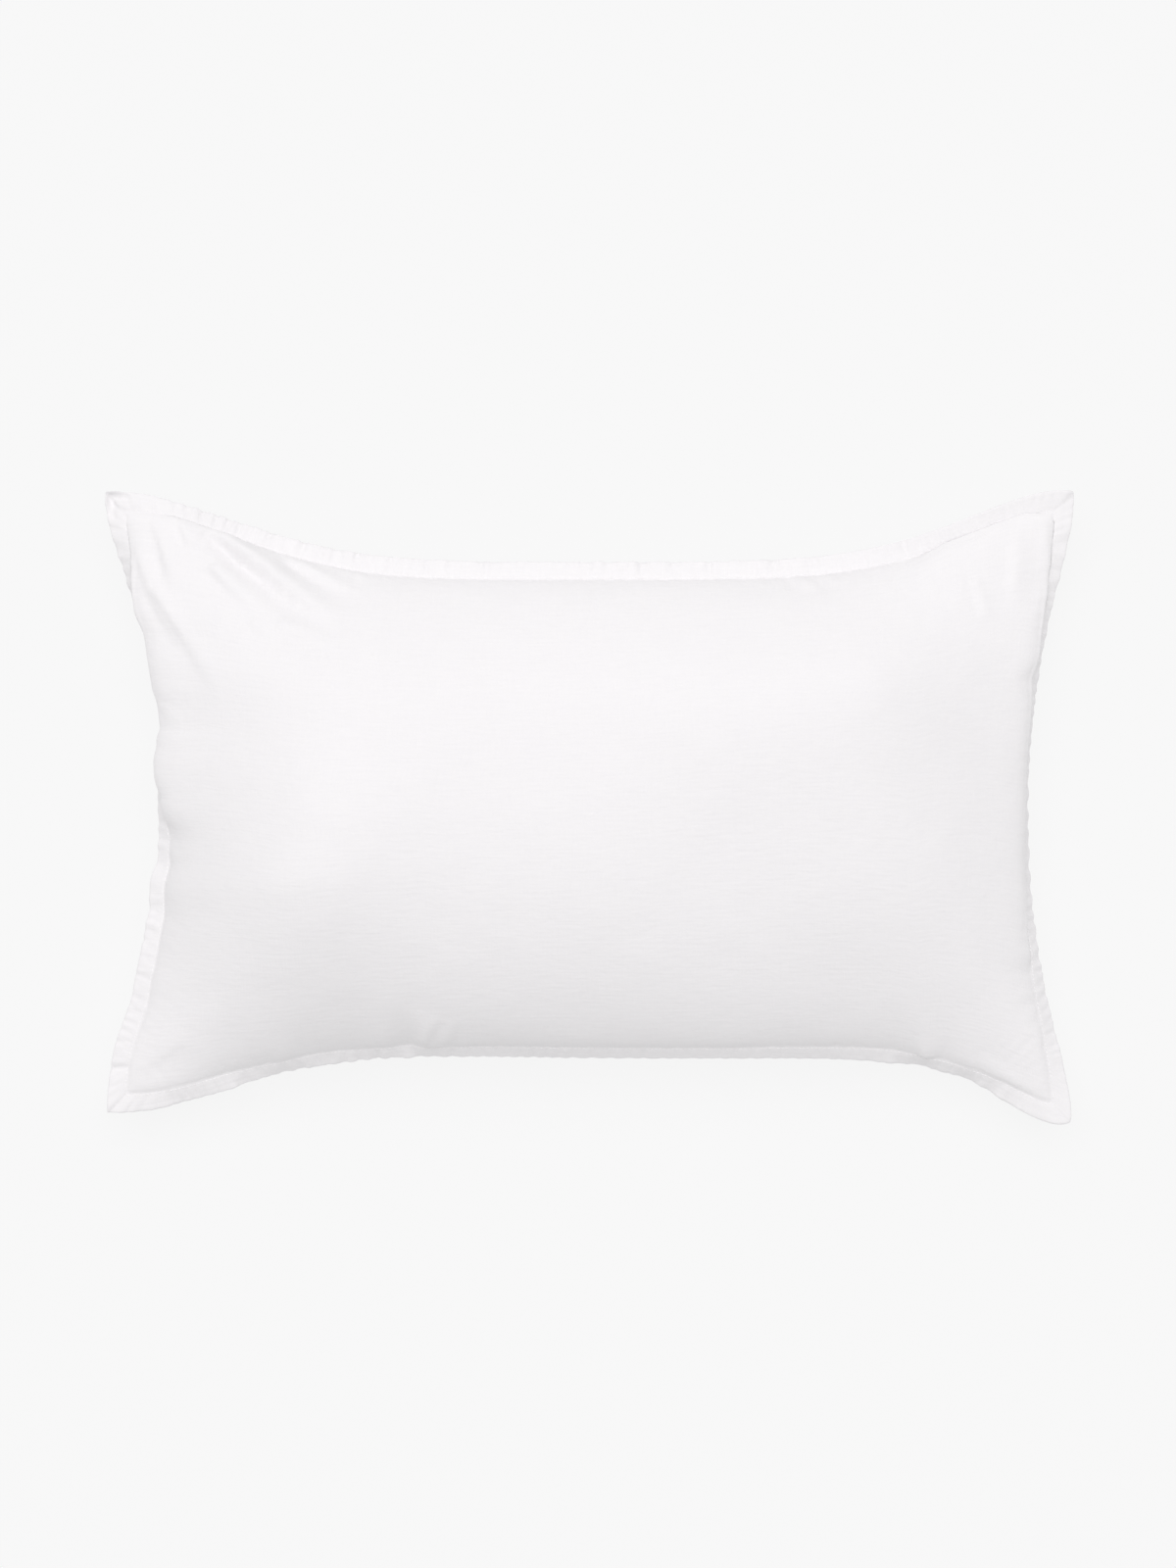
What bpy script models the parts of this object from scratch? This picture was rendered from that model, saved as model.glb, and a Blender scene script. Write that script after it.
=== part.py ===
"""A filled pillowcase lying on its back with its face up.

Metres, +Z up. X runs along the long sides and Y along the short ones, so that +Y is the top of
the case as it is looked at. The origin is on the surface it lies on, under the middle of its box.

The case is one closed body. Its front and back panels are stitched together a flange's width
inside their edges. The filling pushes them apart inside that line of stitching, which draws the
four sides in, and the doubled cloth outside it stands out as a narrow flange.
"""

from collections import namedtuple

import bpy
import numpy as np

# The filled case, corner to corner, and how far its panels stand off the line of stitching.
CASE_LENGTH = 0.735
CASE_WIDTH = 0.480
FRONT_CROWN = 0.082
BACK_CROWN = 0.124
CROWN_POWER_LONG = 2.5
CROWN_POWER_SHORT = 2.1

# The flange is two layers of cloth with the turned seam between them.
FLANGE_WIDTH = 0.0145
FLANGE_THICKNESS = 0.0024
STITCHED_THICKNESS = 0.0014
EDGE_THICKNESS = 0.0020

# The hemmed edge of the back panel laps over the flap that keeps the filling in.
LAP_AT = -0.60
LAP_THICKNESS = 0.0016
LAP_STEP = 0.004
LAP_FADE = 0.08

# The back bends onto the surface within this height, and is flat inside that.
CONTACT_BEND = 0.011

# Cells of the panels' grid, and how far their spacing leans towards the edges.
CELLS_LONG = 58
CELLS_SHORT = 40
EDGE_SPACING = 0.62

# The front panel swells out past the stitching where the flange leans back. The swell is widest
# this far from the edge, as a share of the half panel.
SWELL = 0.006
SWELL_REACH = 0.035

CLOTH_COLOUR = (0.86, 0.85, 0.85, 1.0)
CLOTH_ROUGHNESS = 0.9

# The case's outer corners: place as a share of the half length and half width, and height.
Corner = namedtuple("Corner", "along across height")
LOWER_LEFT = Corner(-1.0, -0.97, 0.052)
LOWER_RIGHT = Corner(1.0, -1.0, 0.050)
UPPER_LEFT = Corner(-1.0, 1.0, 0.060)
UPPER_RIGHT = Corner(1.0, 1.0, 0.062)

# Each side runs from its start corner to its end corner, with t from -1 to 1 along it. It is
# drawn in by depth * (1 - |t| ** flat) ** ease, with one flat and ease for each half, and its
# stitching is at the given height in the middle.
Side = namedtuple("Side", "start end inward depth flat_a ease_a flat_b ease_b height")
SIDES = {
    "bottom": Side(LOWER_LEFT, LOWER_RIGHT, (0, 1), 0.0470, 4.0, 2.1, 6.5, 1.6, 0.078),
    "right": Side(LOWER_RIGHT, UPPER_RIGHT, (-1, 0), 0.0345, 2.2, 1.55, 2.0, 1.5, 0.074),
    "top": Side(UPPER_LEFT, UPPER_RIGHT, (0, -1), 0.0535, 4.0, 2.2, 4.3, 1.75, 0.080),
    "left": Side(LOWER_LEFT, UPPER_LEFT, (1, 0), 0.0400, 1.8, 1.6, 2.0, 1.45, 0.076),
}

# The flange's lean below the level in degrees, at five even stations from start to end.
Lean = namedtuple("Lean", "start quarter middle three_quarters end")
LEANS = {
    "bottom": Lean(8, 42, 55, 46, 4),
    "right": Lean(4, 40, 64, 58, -14),
    "top": Lean(-14, 14, 20, 12, -24),
    "left": Lean(8, 12, 58, 66, -10),
}

# The flange's unevenness: waves round the case with these lengths, heights and phases.
Wave = namedtuple("Wave", "length height phase")
FLANGE_WAVES = (Wave(0.061, 0.0009, 0.4), Wave(0.093, 0.0009, 1.9), Wave(0.210, 0.0007, 0.9))

# Broad swells and hollows of the filling under the front panel.
Lump = namedtuple("Lump", "x y height reach")
LUMPS = (
    Lump(0.080, 0.085, 0.0030, 0.085),
    Lump(-0.190, 0.010, 0.0025, 0.080),
    Lump(-0.070, -0.085, -0.0030, 0.060),
    Lump(0.210, -0.060, 0.0025, 0.075),
    Lump(0.245, 0.085, -0.0020, 0.060),
    Lump(-0.250, -0.110, 0.0025, 0.055),
)

# Folds of the front panel: soft troughs from one end to the other, bowed sideways in between,
# with a shoulder on both sides. They reach their depth where the crown has risen by the onset.
Fold = namedtuple("Fold", "x0 y0 x1 y1 bow depth reach")
FOLDS = (
    Fold(-0.296, 0.222, -0.184, 0.108, 0.007, 0.0078, 0.0080),
    Fold(-0.337, 0.221, -0.286, 0.080, -0.013, 0.0060, 0.0075),
    Fold(-0.300, 0.186, -0.253, 0.137, 0.002, 0.0030, 0.0085),
    Fold(-0.218, 0.190, -0.172, 0.158, 0.000, 0.0042, 0.0075),
    Fold(0.336, 0.222, 0.332, 0.145, 0.003, 0.0055, 0.0070),
    Fold(0.316, 0.206, 0.308, 0.138, 0.000, 0.0030, 0.0080),
    Fold(0.296, -0.186, 0.342, -0.216, 0.000, 0.0030, 0.0080),
    Fold(-0.300, -0.182, -0.338, -0.212, 0.000, 0.0030, 0.0080),
)
FOLD_SHOULDER = 0.3
FOLD_ONSET = 0.25
FOLD_SAMPLES = 24


def clear_scene():
    """Takes everything out of the scene before the case is built."""
    for item in list(bpy.data.objects):
        bpy.data.objects.remove(item)


def stations(cells):
    """Places from -1 to 1 along a panel, closer together towards its edges."""
    even = np.linspace(-1, 1, cells + 1)
    return (1 - EDGE_SPACING) * even + EDGE_SPACING * np.sin(even * np.pi / 2)


def long_stations():
    """The stations along X, with two close together at the lap for its step."""
    places = stations(CELLS_LONG)
    half_step = LAP_STEP / CASE_LENGTH
    nearest = np.argmin(np.abs(places - LAP_AT))
    places[nearest] = LAP_AT - half_step
    return np.sort(np.append(places, LAP_AT + half_step))


def side_stations(u, v):
    """The stations along each side, from its start corner to its end corner."""
    return {"bottom": u, "right": v, "top": u, "left": v}


def stitched_corner(corner):
    """The corner of the stitching, a flange's width in from the case's corner both ways."""
    x = corner.along * CASE_LENGTH / 2 - np.sign(corner.along) * FLANGE_WIDTH
    y = corner.across * CASE_WIDTH / 2 - np.sign(corner.across) * FLANGE_WIDTH
    return np.array([x, y, corner.height])


def drawn_in(side, t):
    """How far a side is drawn in at t, from 0 at its corners to its depth in the middle."""
    flat = np.where(t < 0, side.flat_a, side.flat_b)
    ease = np.where(t < 0, side.ease_a, side.ease_b)
    return side.depth * (1 - np.abs(t) ** flat) ** ease


def lean_at(name, t):
    """A side's lean at t in radians, eased between its five stations."""
    leans = np.radians(LEANS[name])
    place = (t + 1) / 2 * (len(leans) - 1)
    index = np.clip(place.astype(int), 0, len(leans) - 2)
    share = (1 - np.cos((place - index) * np.pi)) / 2
    return leans[index] * (1 - share) + leans[index + 1] * share


def stitch_line(name, t):
    """One side's line of stitching, as points in space, so that its leaning flange ends where
    the side's outline is."""
    side = SIDES[name]
    share = ((t + 1) / 2)[:, None]
    points = stitched_corner(side.start) * (1 - share) + stitched_corner(side.end) * share
    foreshortened = FLANGE_WIDTH * (1 - np.cos(lean_at(name, t))) * (1 - t**2)
    points[:, :2] += (drawn_in(side, t) - foreshortened)[:, None] * side.inward
    mean_height = (side.start.height + side.end.height) / 2
    points[:, 2] += (side.height - mean_height) * (1 - t**2)
    return points


def patch_between(lines, u, v):
    """The surface blended between the four lines of stitching, in the middle of the panels."""
    bottom, right, top, left = (lines[name] for name in ("bottom", "right", "top", "left"))
    s = ((u + 1) / 2)[:, None, None]
    r = ((v + 1) / 2)[None, :, None]
    upwards = bottom[:, None] * (1 - r) + top[:, None] * r
    sideways = left[None, :] * (1 - s) + right[None, :] * s
    lower_corners = bottom[0] * (1 - s) + bottom[-1] * s
    upper_corners = top[0] * (1 - s) + top[-1] * s
    return upwards + sideways - lower_corners * (1 - r) - upper_corners * r


def crown(u, v):
    """The panels' rise from 0 at the stitching to 1 in the middle, steep at the sides."""
    long_profile = 1 - np.abs(u) ** CROWN_POWER_LONG
    short_profile = 1 - np.abs(v) ** CROWN_POWER_SHORT
    return np.sqrt(long_profile[:, None] * short_profile[None, :])


def swell(u, v):
    """How far the front panel moves in X and in Y where it swells over the leaning flange."""
    along = side_stations(u, v)
    lean = {name: np.sin(lean_at(name, along[name])).clip(0) for name in SIDES}

    def bump(t):
        distance = (1 - np.abs(t)) / SWELL_REACH
        return SWELL * distance * np.exp(1 - distance)

    to_side = np.where(u[:, None] < 0, -lean["left"], lean["right"]) * (1 - v**2)
    to_top = np.where(v < 0, -lean["bottom"][:, None], lean["top"][:, None]) * (1 - u**2)[:, None]
    return bump(u)[:, None] * to_side, bump(v) * to_top


def lump_height(points):
    """The sum of the filling's swells and hollows, each a round bell, at points in X and Y."""
    height = np.zeros(points.shape[:-1])
    for lump in LUMPS:
        away = (points[..., 0] - lump.x) ** 2 + (points[..., 1] - lump.y) ** 2
        height += lump.height * np.exp(-away / (2 * lump.reach**2))
    return height


def fold_relief(points):
    """The folds' height at points in X and Y: troughs with shoulders that fade at their ends."""
    height = np.zeros(points.shape[:-1])
    s = np.linspace(0, 1, FOLD_SAMPLES)
    for fold in FOLDS:
        start, end = np.array([fold.x0, fold.y0]), np.array([fold.x1, fold.y1])
        run = end - start
        sideways = np.array([-run[1], run[0]]) / np.linalg.norm(run)
        line = start + s[:, None] * run + (4 * s * (1 - s) * fold.bow)[:, None] * sideways
        away = np.linalg.norm(points[..., None, :2] - line, axis=-1)
        nearest = away.argmin(axis=-1)
        away = away.min(axis=-1) / fold.reach
        trough = np.exp(-(away**2) / 2)
        shoulder = FOLD_SHOULDER * np.exp(-((away - 2.4) ** 2) / 2)
        height += fold.depth * np.sqrt(np.sin(np.pi * s[nearest]).clip(0)) * (shoulder - trough)
    return height


def settled(height):
    """Heights bent onto the surface at 0: unchanged above the bend and exactly 0 under it."""
    bend = (height + CONTACT_BEND) ** 2 / (4 * CONTACT_BEND)
    return np.where(height > CONTACT_BEND, height, np.where(height < -CONTACT_BEND, 0, bend))


def normals(points):
    """The upward unit normals of a panel's grid of points."""
    normal = np.cross(np.gradient(points, axis=0), np.gradient(points, axis=1))
    return normal / np.linalg.norm(normal, axis=-1, keepdims=True)


def front_panel(middle, u, v):
    """The front panel's points: the crown over the middle surface, with its lumps and folds."""
    rise = crown(u, v)
    points = middle.copy()
    out_x, out_y = swell(u, v)
    points[..., 0] += out_x
    points[..., 1] += out_y
    points[..., 2] += (FRONT_CROWN + lump_height(points)) * rise
    relief = fold_relief(points) * (rise / FOLD_ONSET).clip(0, 1)
    return points + relief[..., None] * normals(points)


def back_panel(middle, u, v):
    """The back panel's points: its crown downwards, settled on the surface, with the lap's step."""
    points = middle.copy()
    points[..., 2] = settled(points[..., 2] - BACK_CROWN * crown(u, v))
    beyond_lap = (u < LAP_AT)[:, None] * ((1 - np.abs(v)) / LAP_FADE).clip(0, 1)
    points[..., 2] += LAP_THICKNESS * beyond_lap
    return points


def border(columns, rows):
    """The panel's border as column and row numbers, anticlockwise from the lower left corner."""
    bottom = [(i, 0) for i in range(columns - 1)]
    right = [(columns - 1, j) for j in range(rows - 1)]
    top = [(i, rows - 1) for i in range(columns - 1, 0, -1)]
    left = [(0, j) for j in range(rows - 1, 0, -1)]
    return np.array(bottom + right + top + left).T


def border_frames(u, v):
    """For each border point, outwards in the plan, mitred at the corners, and the mean lean."""
    outward = np.zeros((len(u), len(v), 3))
    lean = np.zeros((len(u), len(v)))
    count = np.zeros((len(u), len(v)))
    edges = {"bottom": np.s_[:, 0], "right": np.s_[-1, :], "top": np.s_[:, -1], "left": np.s_[0, :]}
    for name, t in side_stations(u, v).items():
        outward[edges[name]] -= (*SIDES[name].inward, 0)
        lean[edges[name]] += lean_at(name, t)
        count[edges[name]] += 1
    columns, rows = border(len(u), len(v))
    return outward[columns, rows], (lean / count.clip(1))[columns, rows]


def flange_wave(stitching):
    """The flange's waviness at each border point, from the distance run round the case."""
    steps = np.linalg.norm(np.diff(stitching, axis=0, append=stitching[:1]), axis=1)
    run = np.cumsum(steps) - steps
    turn = 2 * np.pi * run / steps.sum()
    height = np.zeros(len(run))
    for wave in FLANGE_WAVES:
        height += wave.height * np.sin(round(steps.sum() / wave.length) * turn + wave.phase)
    return height


def flange_rings(stitching, outward, lean):
    """The flange's rings of points, from the front's stitching round its edge to the back's."""
    up = np.array([0.0, 0.0, 1.0])
    lean = lean[:, None]
    across = np.cos(lean) * outward - np.sin(lean) * up
    normal = np.sin(lean) * outward + np.cos(lean) * up
    wave = flange_wave(stitching)[:, None]

    def ring(share, thickness):
        middle = stitching + share * (across * FLANGE_WIDTH + normal * wave)
        return middle + normal * thickness / 2

    front = [ring(0.0, STITCHED_THICKNESS), ring(0.45, FLANGE_THICKNESS), ring(1, EDGE_THICKNESS)]
    back = [ring(1, -EDGE_THICKNESS), ring(0.45, -FLANGE_THICKNESS), ring(0.0, -STITCHED_THICKNESS)]
    return front + back


def panel_faces(index, upward):
    """The quads of a panel whose vertex numbers are in index, facing up or down."""
    a, b, c, d = index[:-1, :-1], index[1:, :-1], index[1:, 1:], index[:-1, 1:]
    corners = (a, b, c, d) if upward else (d, c, b, a)
    return np.stack(corners, axis=-1).reshape(-1, 4).tolist()


def band_faces(inner, outer):
    """The quads between two closed rings of vertex numbers, the first being the inner one."""
    corners = (inner, outer, np.roll(outer, -1), np.roll(inner, -1))
    return np.stack(corners, axis=-1).tolist()


def cloth_material():
    """Plain white washed linen."""
    material = bpy.data.materials.new("white_linen")
    material.use_nodes = True
    shader = material.node_tree.nodes["Principled BSDF"]
    shader.inputs["Base Color"].default_value = CLOTH_COLOUR
    shader.inputs["Roughness"].default_value = CLOTH_ROUGHNESS
    shader.inputs["Metallic"].default_value = 0.0
    material.diffuse_color = CLOTH_COLOUR
    return material


def case_mesh_data():
    """The case's points and faces: front panel, back panel and the flange round their border."""
    u, v = long_stations(), stations(CELLS_SHORT)
    lines = {name: stitch_line(name, t) for name, t in side_stations(u, v).items()}
    middle = patch_between(lines, u, v)
    columns, rows = border(len(u), len(v))
    rings = flange_rings(middle[columns, rows], *border_frames(u, v))

    front, back = front_panel(middle, u, v), back_panel(middle, u, v)
    front[columns, rows] = rings[0]
    back[columns, rows] = rings[-1]
    points = np.concatenate([front.reshape(-1, 3), back.reshape(-1, 3), *rings[1:-1]])

    front_index = np.arange(len(u) * len(v)).reshape(len(u), len(v))
    back_index = front_index + front_index.size
    faces = panel_faces(front_index, True) + panel_faces(back_index, False)
    loops = [front_index[columns, rows]]
    for number in range(len(rings) - 2):
        loops.append(2 * front_index.size + number * len(columns) + np.arange(len(columns)))
    loops.append(back_index[columns, rows])
    for inner, outer in zip(loops, loops[1:]):
        faces += band_faces(inner, outer)
    return points, faces


def pillowcase():
    """Builds the case as one closed mesh, centred over the origin."""
    points, faces = case_mesh_data()
    middle = (points.min(axis=0) + points.max(axis=0)) / 2
    points[:, :2] -= middle[:2]
    mesh = bpy.data.meshes.new("pillowcase")
    mesh.from_pydata(points.tolist(), [], faces)
    mesh.validate()
    mesh.shade_smooth()
    mesh.materials.append(cloth_material())
    case = bpy.data.objects.new("pillowcase", mesh)
    bpy.context.scene.collection.objects.link(case)
    return case


def main():
    """Clears the scene and builds the case."""
    clear_scene()
    pillowcase()


main()
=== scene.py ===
"""The looks of a filled linen pillowcase that lies on its back with its face up.

Metres, +Z up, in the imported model's frame: X along the long sides, Y towards the top of the case
and the origin on the surface under the middle of its box. The cloth is one closed shell whose
shape is worked out from named sizes, as the solid's is: two panels that the filling pushes apart
inside a line of stitching, and a narrow doubled flange outside it.
"""

from __future__ import annotations

import logging
import math
from dataclasses import dataclass, field, replace
from enum import Enum
from typing import Any, Iterable, NamedTuple, Union

import bpy
import numpy as np
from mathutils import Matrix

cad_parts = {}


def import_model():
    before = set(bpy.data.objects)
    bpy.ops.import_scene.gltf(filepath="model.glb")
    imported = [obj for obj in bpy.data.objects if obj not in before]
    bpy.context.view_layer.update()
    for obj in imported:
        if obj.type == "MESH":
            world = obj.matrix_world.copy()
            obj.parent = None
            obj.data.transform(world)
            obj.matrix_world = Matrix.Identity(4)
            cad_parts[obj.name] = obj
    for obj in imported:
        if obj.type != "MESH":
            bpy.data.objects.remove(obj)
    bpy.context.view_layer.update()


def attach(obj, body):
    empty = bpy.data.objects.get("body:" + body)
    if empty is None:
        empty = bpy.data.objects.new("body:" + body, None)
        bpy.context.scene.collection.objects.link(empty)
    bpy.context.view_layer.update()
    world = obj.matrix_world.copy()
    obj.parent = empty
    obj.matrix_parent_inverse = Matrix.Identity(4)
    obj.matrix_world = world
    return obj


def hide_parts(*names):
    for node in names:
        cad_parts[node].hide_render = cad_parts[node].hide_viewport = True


LOG = logging.getLogger("pillowcase")
Array = np.ndarray

MM = 0.001
UP = np.array([0.0, 0.0, 1.0])
CLOTH_PLACE = "cloth_place"
BUMP_STRENGTH = 0.6


# --------------------------------------------------------------------------------------------
# Sizes and tables
# --------------------------------------------------------------------------------------------


class SideName(Enum):
    """The four sides of the case, in the order in which they are run round."""

    BOTTOM = "bottom"
    RIGHT = "right"
    TOP = "top"
    LEFT = "left"


class Edge(Enum):
    """The two ends of a panel in one direction."""

    START = "start"
    END = "end"


class Panel(Enum):
    """The two panels, with the sign of their outward direction."""

    FRONT = 1
    BACK = -1


class Corner(NamedTuple):
    """An outer corner: its place as a share of the half length and half width, and its height."""

    along: float
    across: float
    height: float


class Side(NamedTuple):
    """One side: how it is drawn in, and how high its stitching is."""

    start: Corner
    end: Corner
    inward: tuple[float, float]
    depth: float
    flat_a: float
    ease_a: float
    flat_b: float
    ease_b: float
    height: float


LOWER_LEFT = Corner(-1.0, -0.97, 0.052)
LOWER_RIGHT = Corner(1.0, -1.0, 0.050)
UPPER_LEFT = Corner(-1.0, 1.0, 0.060)
UPPER_RIGHT = Corner(1.0, 1.0, 0.062)

SIDES: dict[SideName, Side] = {
    SideName.BOTTOM: Side(
        LOWER_LEFT, LOWER_RIGHT, (0, 1), 0.0470, 4.0, 2.1, 6.5, 1.6, 0.084,
    ),
    SideName.RIGHT: Side(
        LOWER_RIGHT, UPPER_RIGHT, (-1, 0), 0.0345, 2.2, 1.55, 2.0, 1.5, 0.074,
    ),
    SideName.TOP: Side(
        UPPER_LEFT, UPPER_RIGHT, (0, -1), 0.0535, 4.0, 2.2, 4.3, 1.75, 0.080,
    ),
    SideName.LEFT: Side(
        LOWER_LEFT, UPPER_LEFT, (1, 0), 0.0400, 1.8, 1.6, 2.0, 1.45, 0.076,
    ),
}


class Station(NamedTuple):
    """A value at a place from -1 to 1 along a side, which eases into the next row's."""

    place: float
    value: float


def stations(*rows: tuple[float, float]) -> tuple[Station, ...]:
    """A side's table of values from its rows."""
    return tuple(Station(*row) for row in rows)


# How far the flange leans below the level, in degrees.
LEANS: dict[SideName, tuple[Station, ...]] = {
    SideName.BOTTOM: stations(
        (-1.0, 12), (-0.95, 22), (-0.88, 35), (-0.79, 31), (-0.74, 42), (-0.66, 53), (-0.58, 45),
        (-0.44, 53), (-0.39, 47), (-0.345, 57), (-0.20, 54), (0.29, 54), (0.50, 49), (0.59, 45),
        (0.65, 42), (0.69, 52), (0.72, 60), (0.77, 52), (0.82, 56), (0.87, 44), (0.91, 28),
        (0.96, 16), (1.0, 10),
    ),
    SideName.RIGHT: stations(
        (-1.0, 12), (-0.87, 30), (-0.73, 45), (-0.58, 52), (-0.49, 60), (-0.27, 64), (0.0, 67),
        (0.30, 67), (0.50, 62), (0.62, 55), (0.72, 45), (0.80, 33), (0.88, 20), (0.94, 10),
        (1.0, 6),
    ),
    SideName.TOP: stations(
        (-1.0, 10), (-0.93, 22), (-0.885, 32), (-0.84, 33), (-0.78, 31), (-0.70, 26), (-0.60, 18),
        (-0.50, 10), (-0.38, 11), (-0.25, 15), (0.0, 16), (0.30, 15), (0.45, 12), (0.60, 5),
        (0.72, -1), (0.80, -4), (0.95, -5), (1.0, -4),
    ),
    SideName.LEFT: stations(
        (-1.0, 10), (-0.90, 16), (-0.60, 24), (-0.42, 26), (-0.28, 34), (-0.16, 48), (0.0, 66),
        (0.12, 75), (0.30, 77), (0.62, 75), (0.70, 71), (0.77, 60), (0.815, 52), (0.86, 40),
        (0.915, 24), (0.95, 15), (1.0, 10),
    ),
}

# How much the panel bulges over the foot of the flange, wherever that leans.
TUCKS: dict[SideName, tuple[Station, ...]] = {
    SideName.BOTTOM: stations((-1.0, 0), (0.80, 0), (0.88, 0.3), (0.96, 0.3), (1.0, 0)),
    SideName.RIGHT: stations(
        (-1.0, 0), (-0.94, 0.25), (-0.80, 0.25), (-0.65, 0), (0.30, 0), (0.52, 0.95), (0.70, 0.9),
        (0.80, 0.75), (0.95, 0.6), (1.0, 0),
    ),
    SideName.TOP: stations(
        (-1.0, 0), (-0.95, 0.1), (-0.89, 0.45), (-0.78, 0.35), (-0.62, 0), (0.66, 0), (0.78, 0.8),
        (0.93, 0.8), (1.0, 0),
    ),
    SideName.LEFT: stations(
        (-1.0, 0), (0.60, 0), (0.74, 0.9), (0.815, 0.70), (0.87, 0.48), (0.95, 0.42), (1.0, 0),
    ),
}

# How much further in than its smooth line the stitching of the left side lies, in millimetres.
LEFT_OFFSETS = stations(
    (-1.0, 0), (-0.89, 0), (-0.67, 4.6), (-0.60, 3.6), (-0.40, 2.8), (-0.28, 0), (-0.20, 2.2),
    (-0.13, 1.4), (0.0, 0), (0.13, -0.6), (0.21, 2.6), (0.26, 6.0), (0.33, 6.2), (0.40, 4.2),
    (0.48, 4.0), (0.56, 4.6), (0.66, 0.8), (0.74, 0), (1.0, 0),
)


class Crease(NamedTuple):
    """A crease across the flange, at a place from -1 to 1 along its side: a furrow, or a ridge
    where its depth is negative. Depth and width are in millimetres."""

    place: float
    depth: float
    width: float


def creases(*rows: tuple[float, float, float]) -> tuple[Crease, ...]:
    """A side's table of creases from its rows."""
    return tuple(Crease(*row) for row in rows)


FLANGE_CREASES: dict[SideName, tuple[Crease, ...]] = {
    SideName.TOP: creases(
        (-0.985, 2.0, 3.0), (-0.960, -1.2, 2.6), (-0.935, 1.6, 1.8), (-0.905, -0.6, 4.0),
        (-0.838, 0.9, 1.6), (-0.806, 0.9, 1.6), (-0.764, 0.9, 1.5), (-0.738, 0.9, 1.6),
        (-0.721, 0.8, 1.4), (-0.689, 0.7, 1.6), (-0.637, 1.2, 1.7), (-0.583, 1.6, 2.0),
        (-0.540, 0.6, 1.6), (-0.494, 1.2, 1.6), (-0.472, 0.6, 1.4), (-0.433, 0.9, 1.5),
        (-0.353, 1.4, 1.8), (-0.300, 0.5, 1.6), (-0.217, 0.9, 1.5), (-0.156, 0.6, 1.6),
        (-0.118, 0.6, 1.6), (-0.056, 0.7, 1.6), (0.028, 1.2, 1.6), (0.075, 0.7, 1.5),
        (0.102, 1.1, 1.6), (0.131, 0.7, 1.5), (0.165, 0.9, 1.6), (0.200, 0.7, 1.5),
        (0.232, 1.3, 1.7), (0.280, 0.6, 1.5), (0.293, 0.8, 1.5), (0.364, 1.2, 1.6),
        (0.381, 1.1, 1.5), (0.410, 0.7, 1.5), (0.469, 0.9, 1.8), (0.500, -0.5, 4.0),
        (0.568, 0.6, 2.0), (0.678, -0.5, 4.0),
    ),
    SideName.LEFT: creases(
        (-0.911, 2.2, 3.0), (-0.880, -0.8, 5.0), (-0.608, 1.8, 2.6), (-0.578, -1.0, 3.0),
        (-0.464, 0.8, 4.0), (-0.427, -0.7, 4.0), (-0.374, 1.0, 6.0), (-0.130, 1.2, 3.0),
        (0.10, 1.0, 3.0), (0.28, 0.9, 3.0), (0.945, 0.8, 3.0), (0.985, 1.8, 3.0),
    ),
    SideName.BOTTOM: creases(
        (-0.720, 0.8, 5.0), (-0.633, 0.9, 2.5), (-0.575, 0.8, 2.2), (-0.507, 1.0, 1.8),
        (-0.480, 0.8, 1.6), (-0.454, 1.0, 1.8), (-0.427, 0.8, 1.6), (-0.400, 0.7, 1.6),
        (-0.345, 0.8, 3.0), (0.700, 1.0, 5.0),
    ),
    SideName.RIGHT: creases((0.88, 0.7, 4.0), (-0.66, 0.5, 5.0)),
}


class Facet(NamedTuple):
    """A stretch of the top flange, between creases, that leans further than the rest of it.

    Its width is in millimetres and its tilt in degrees.
    """

    place: float
    width: float
    tilt: float


TOP_FACETS = tuple(
    Facet(*row)
    for row in (
        (-0.910, 12, 9), (-0.872, 8, 8), (-0.839, 6, 7), (-0.814, 4, 7), (-0.786, 6, 8),
        (-0.697, 4, 7), (-0.623, 4, 8), (-0.548, 9, 8), (-0.504, 5, 7), (-0.479, 7, 8),
        (-0.320, 10, -4), (-0.234, 5, 8), (-0.200, 9, 8), (-0.140, 10, -5), (-0.085, 8, -3),
        (-0.009, 8, 8), (0.018, 7, -5), (0.049, 8, 8), (0.088, 6, -4), (0.118, 9, 8),
        (0.150, 9, -4), (0.185, 8, 8), (0.216, 9, -4), (0.256, 5, 7), (0.320, 14, -4),
        (0.373, 5, -7), (0.401, 5, 8), (0.440, 12, -4), (0.504, 7, 6), (0.620, 12, -3),
        (0.680, 7, 6),
    )
)


class Wave(NamedTuple):
    """A wave of the flange round the case."""

    length: float
    height: float
    phase: float


FLANGE_WAVES = (Wave(0.093, 0.0003, 1.9), Wave(0.210, 0.0006, 0.9))


class Lump(NamedTuple):
    """A broad swell or hollow of the filling."""

    x: float
    y: float
    height: float
    reach: float


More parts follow.
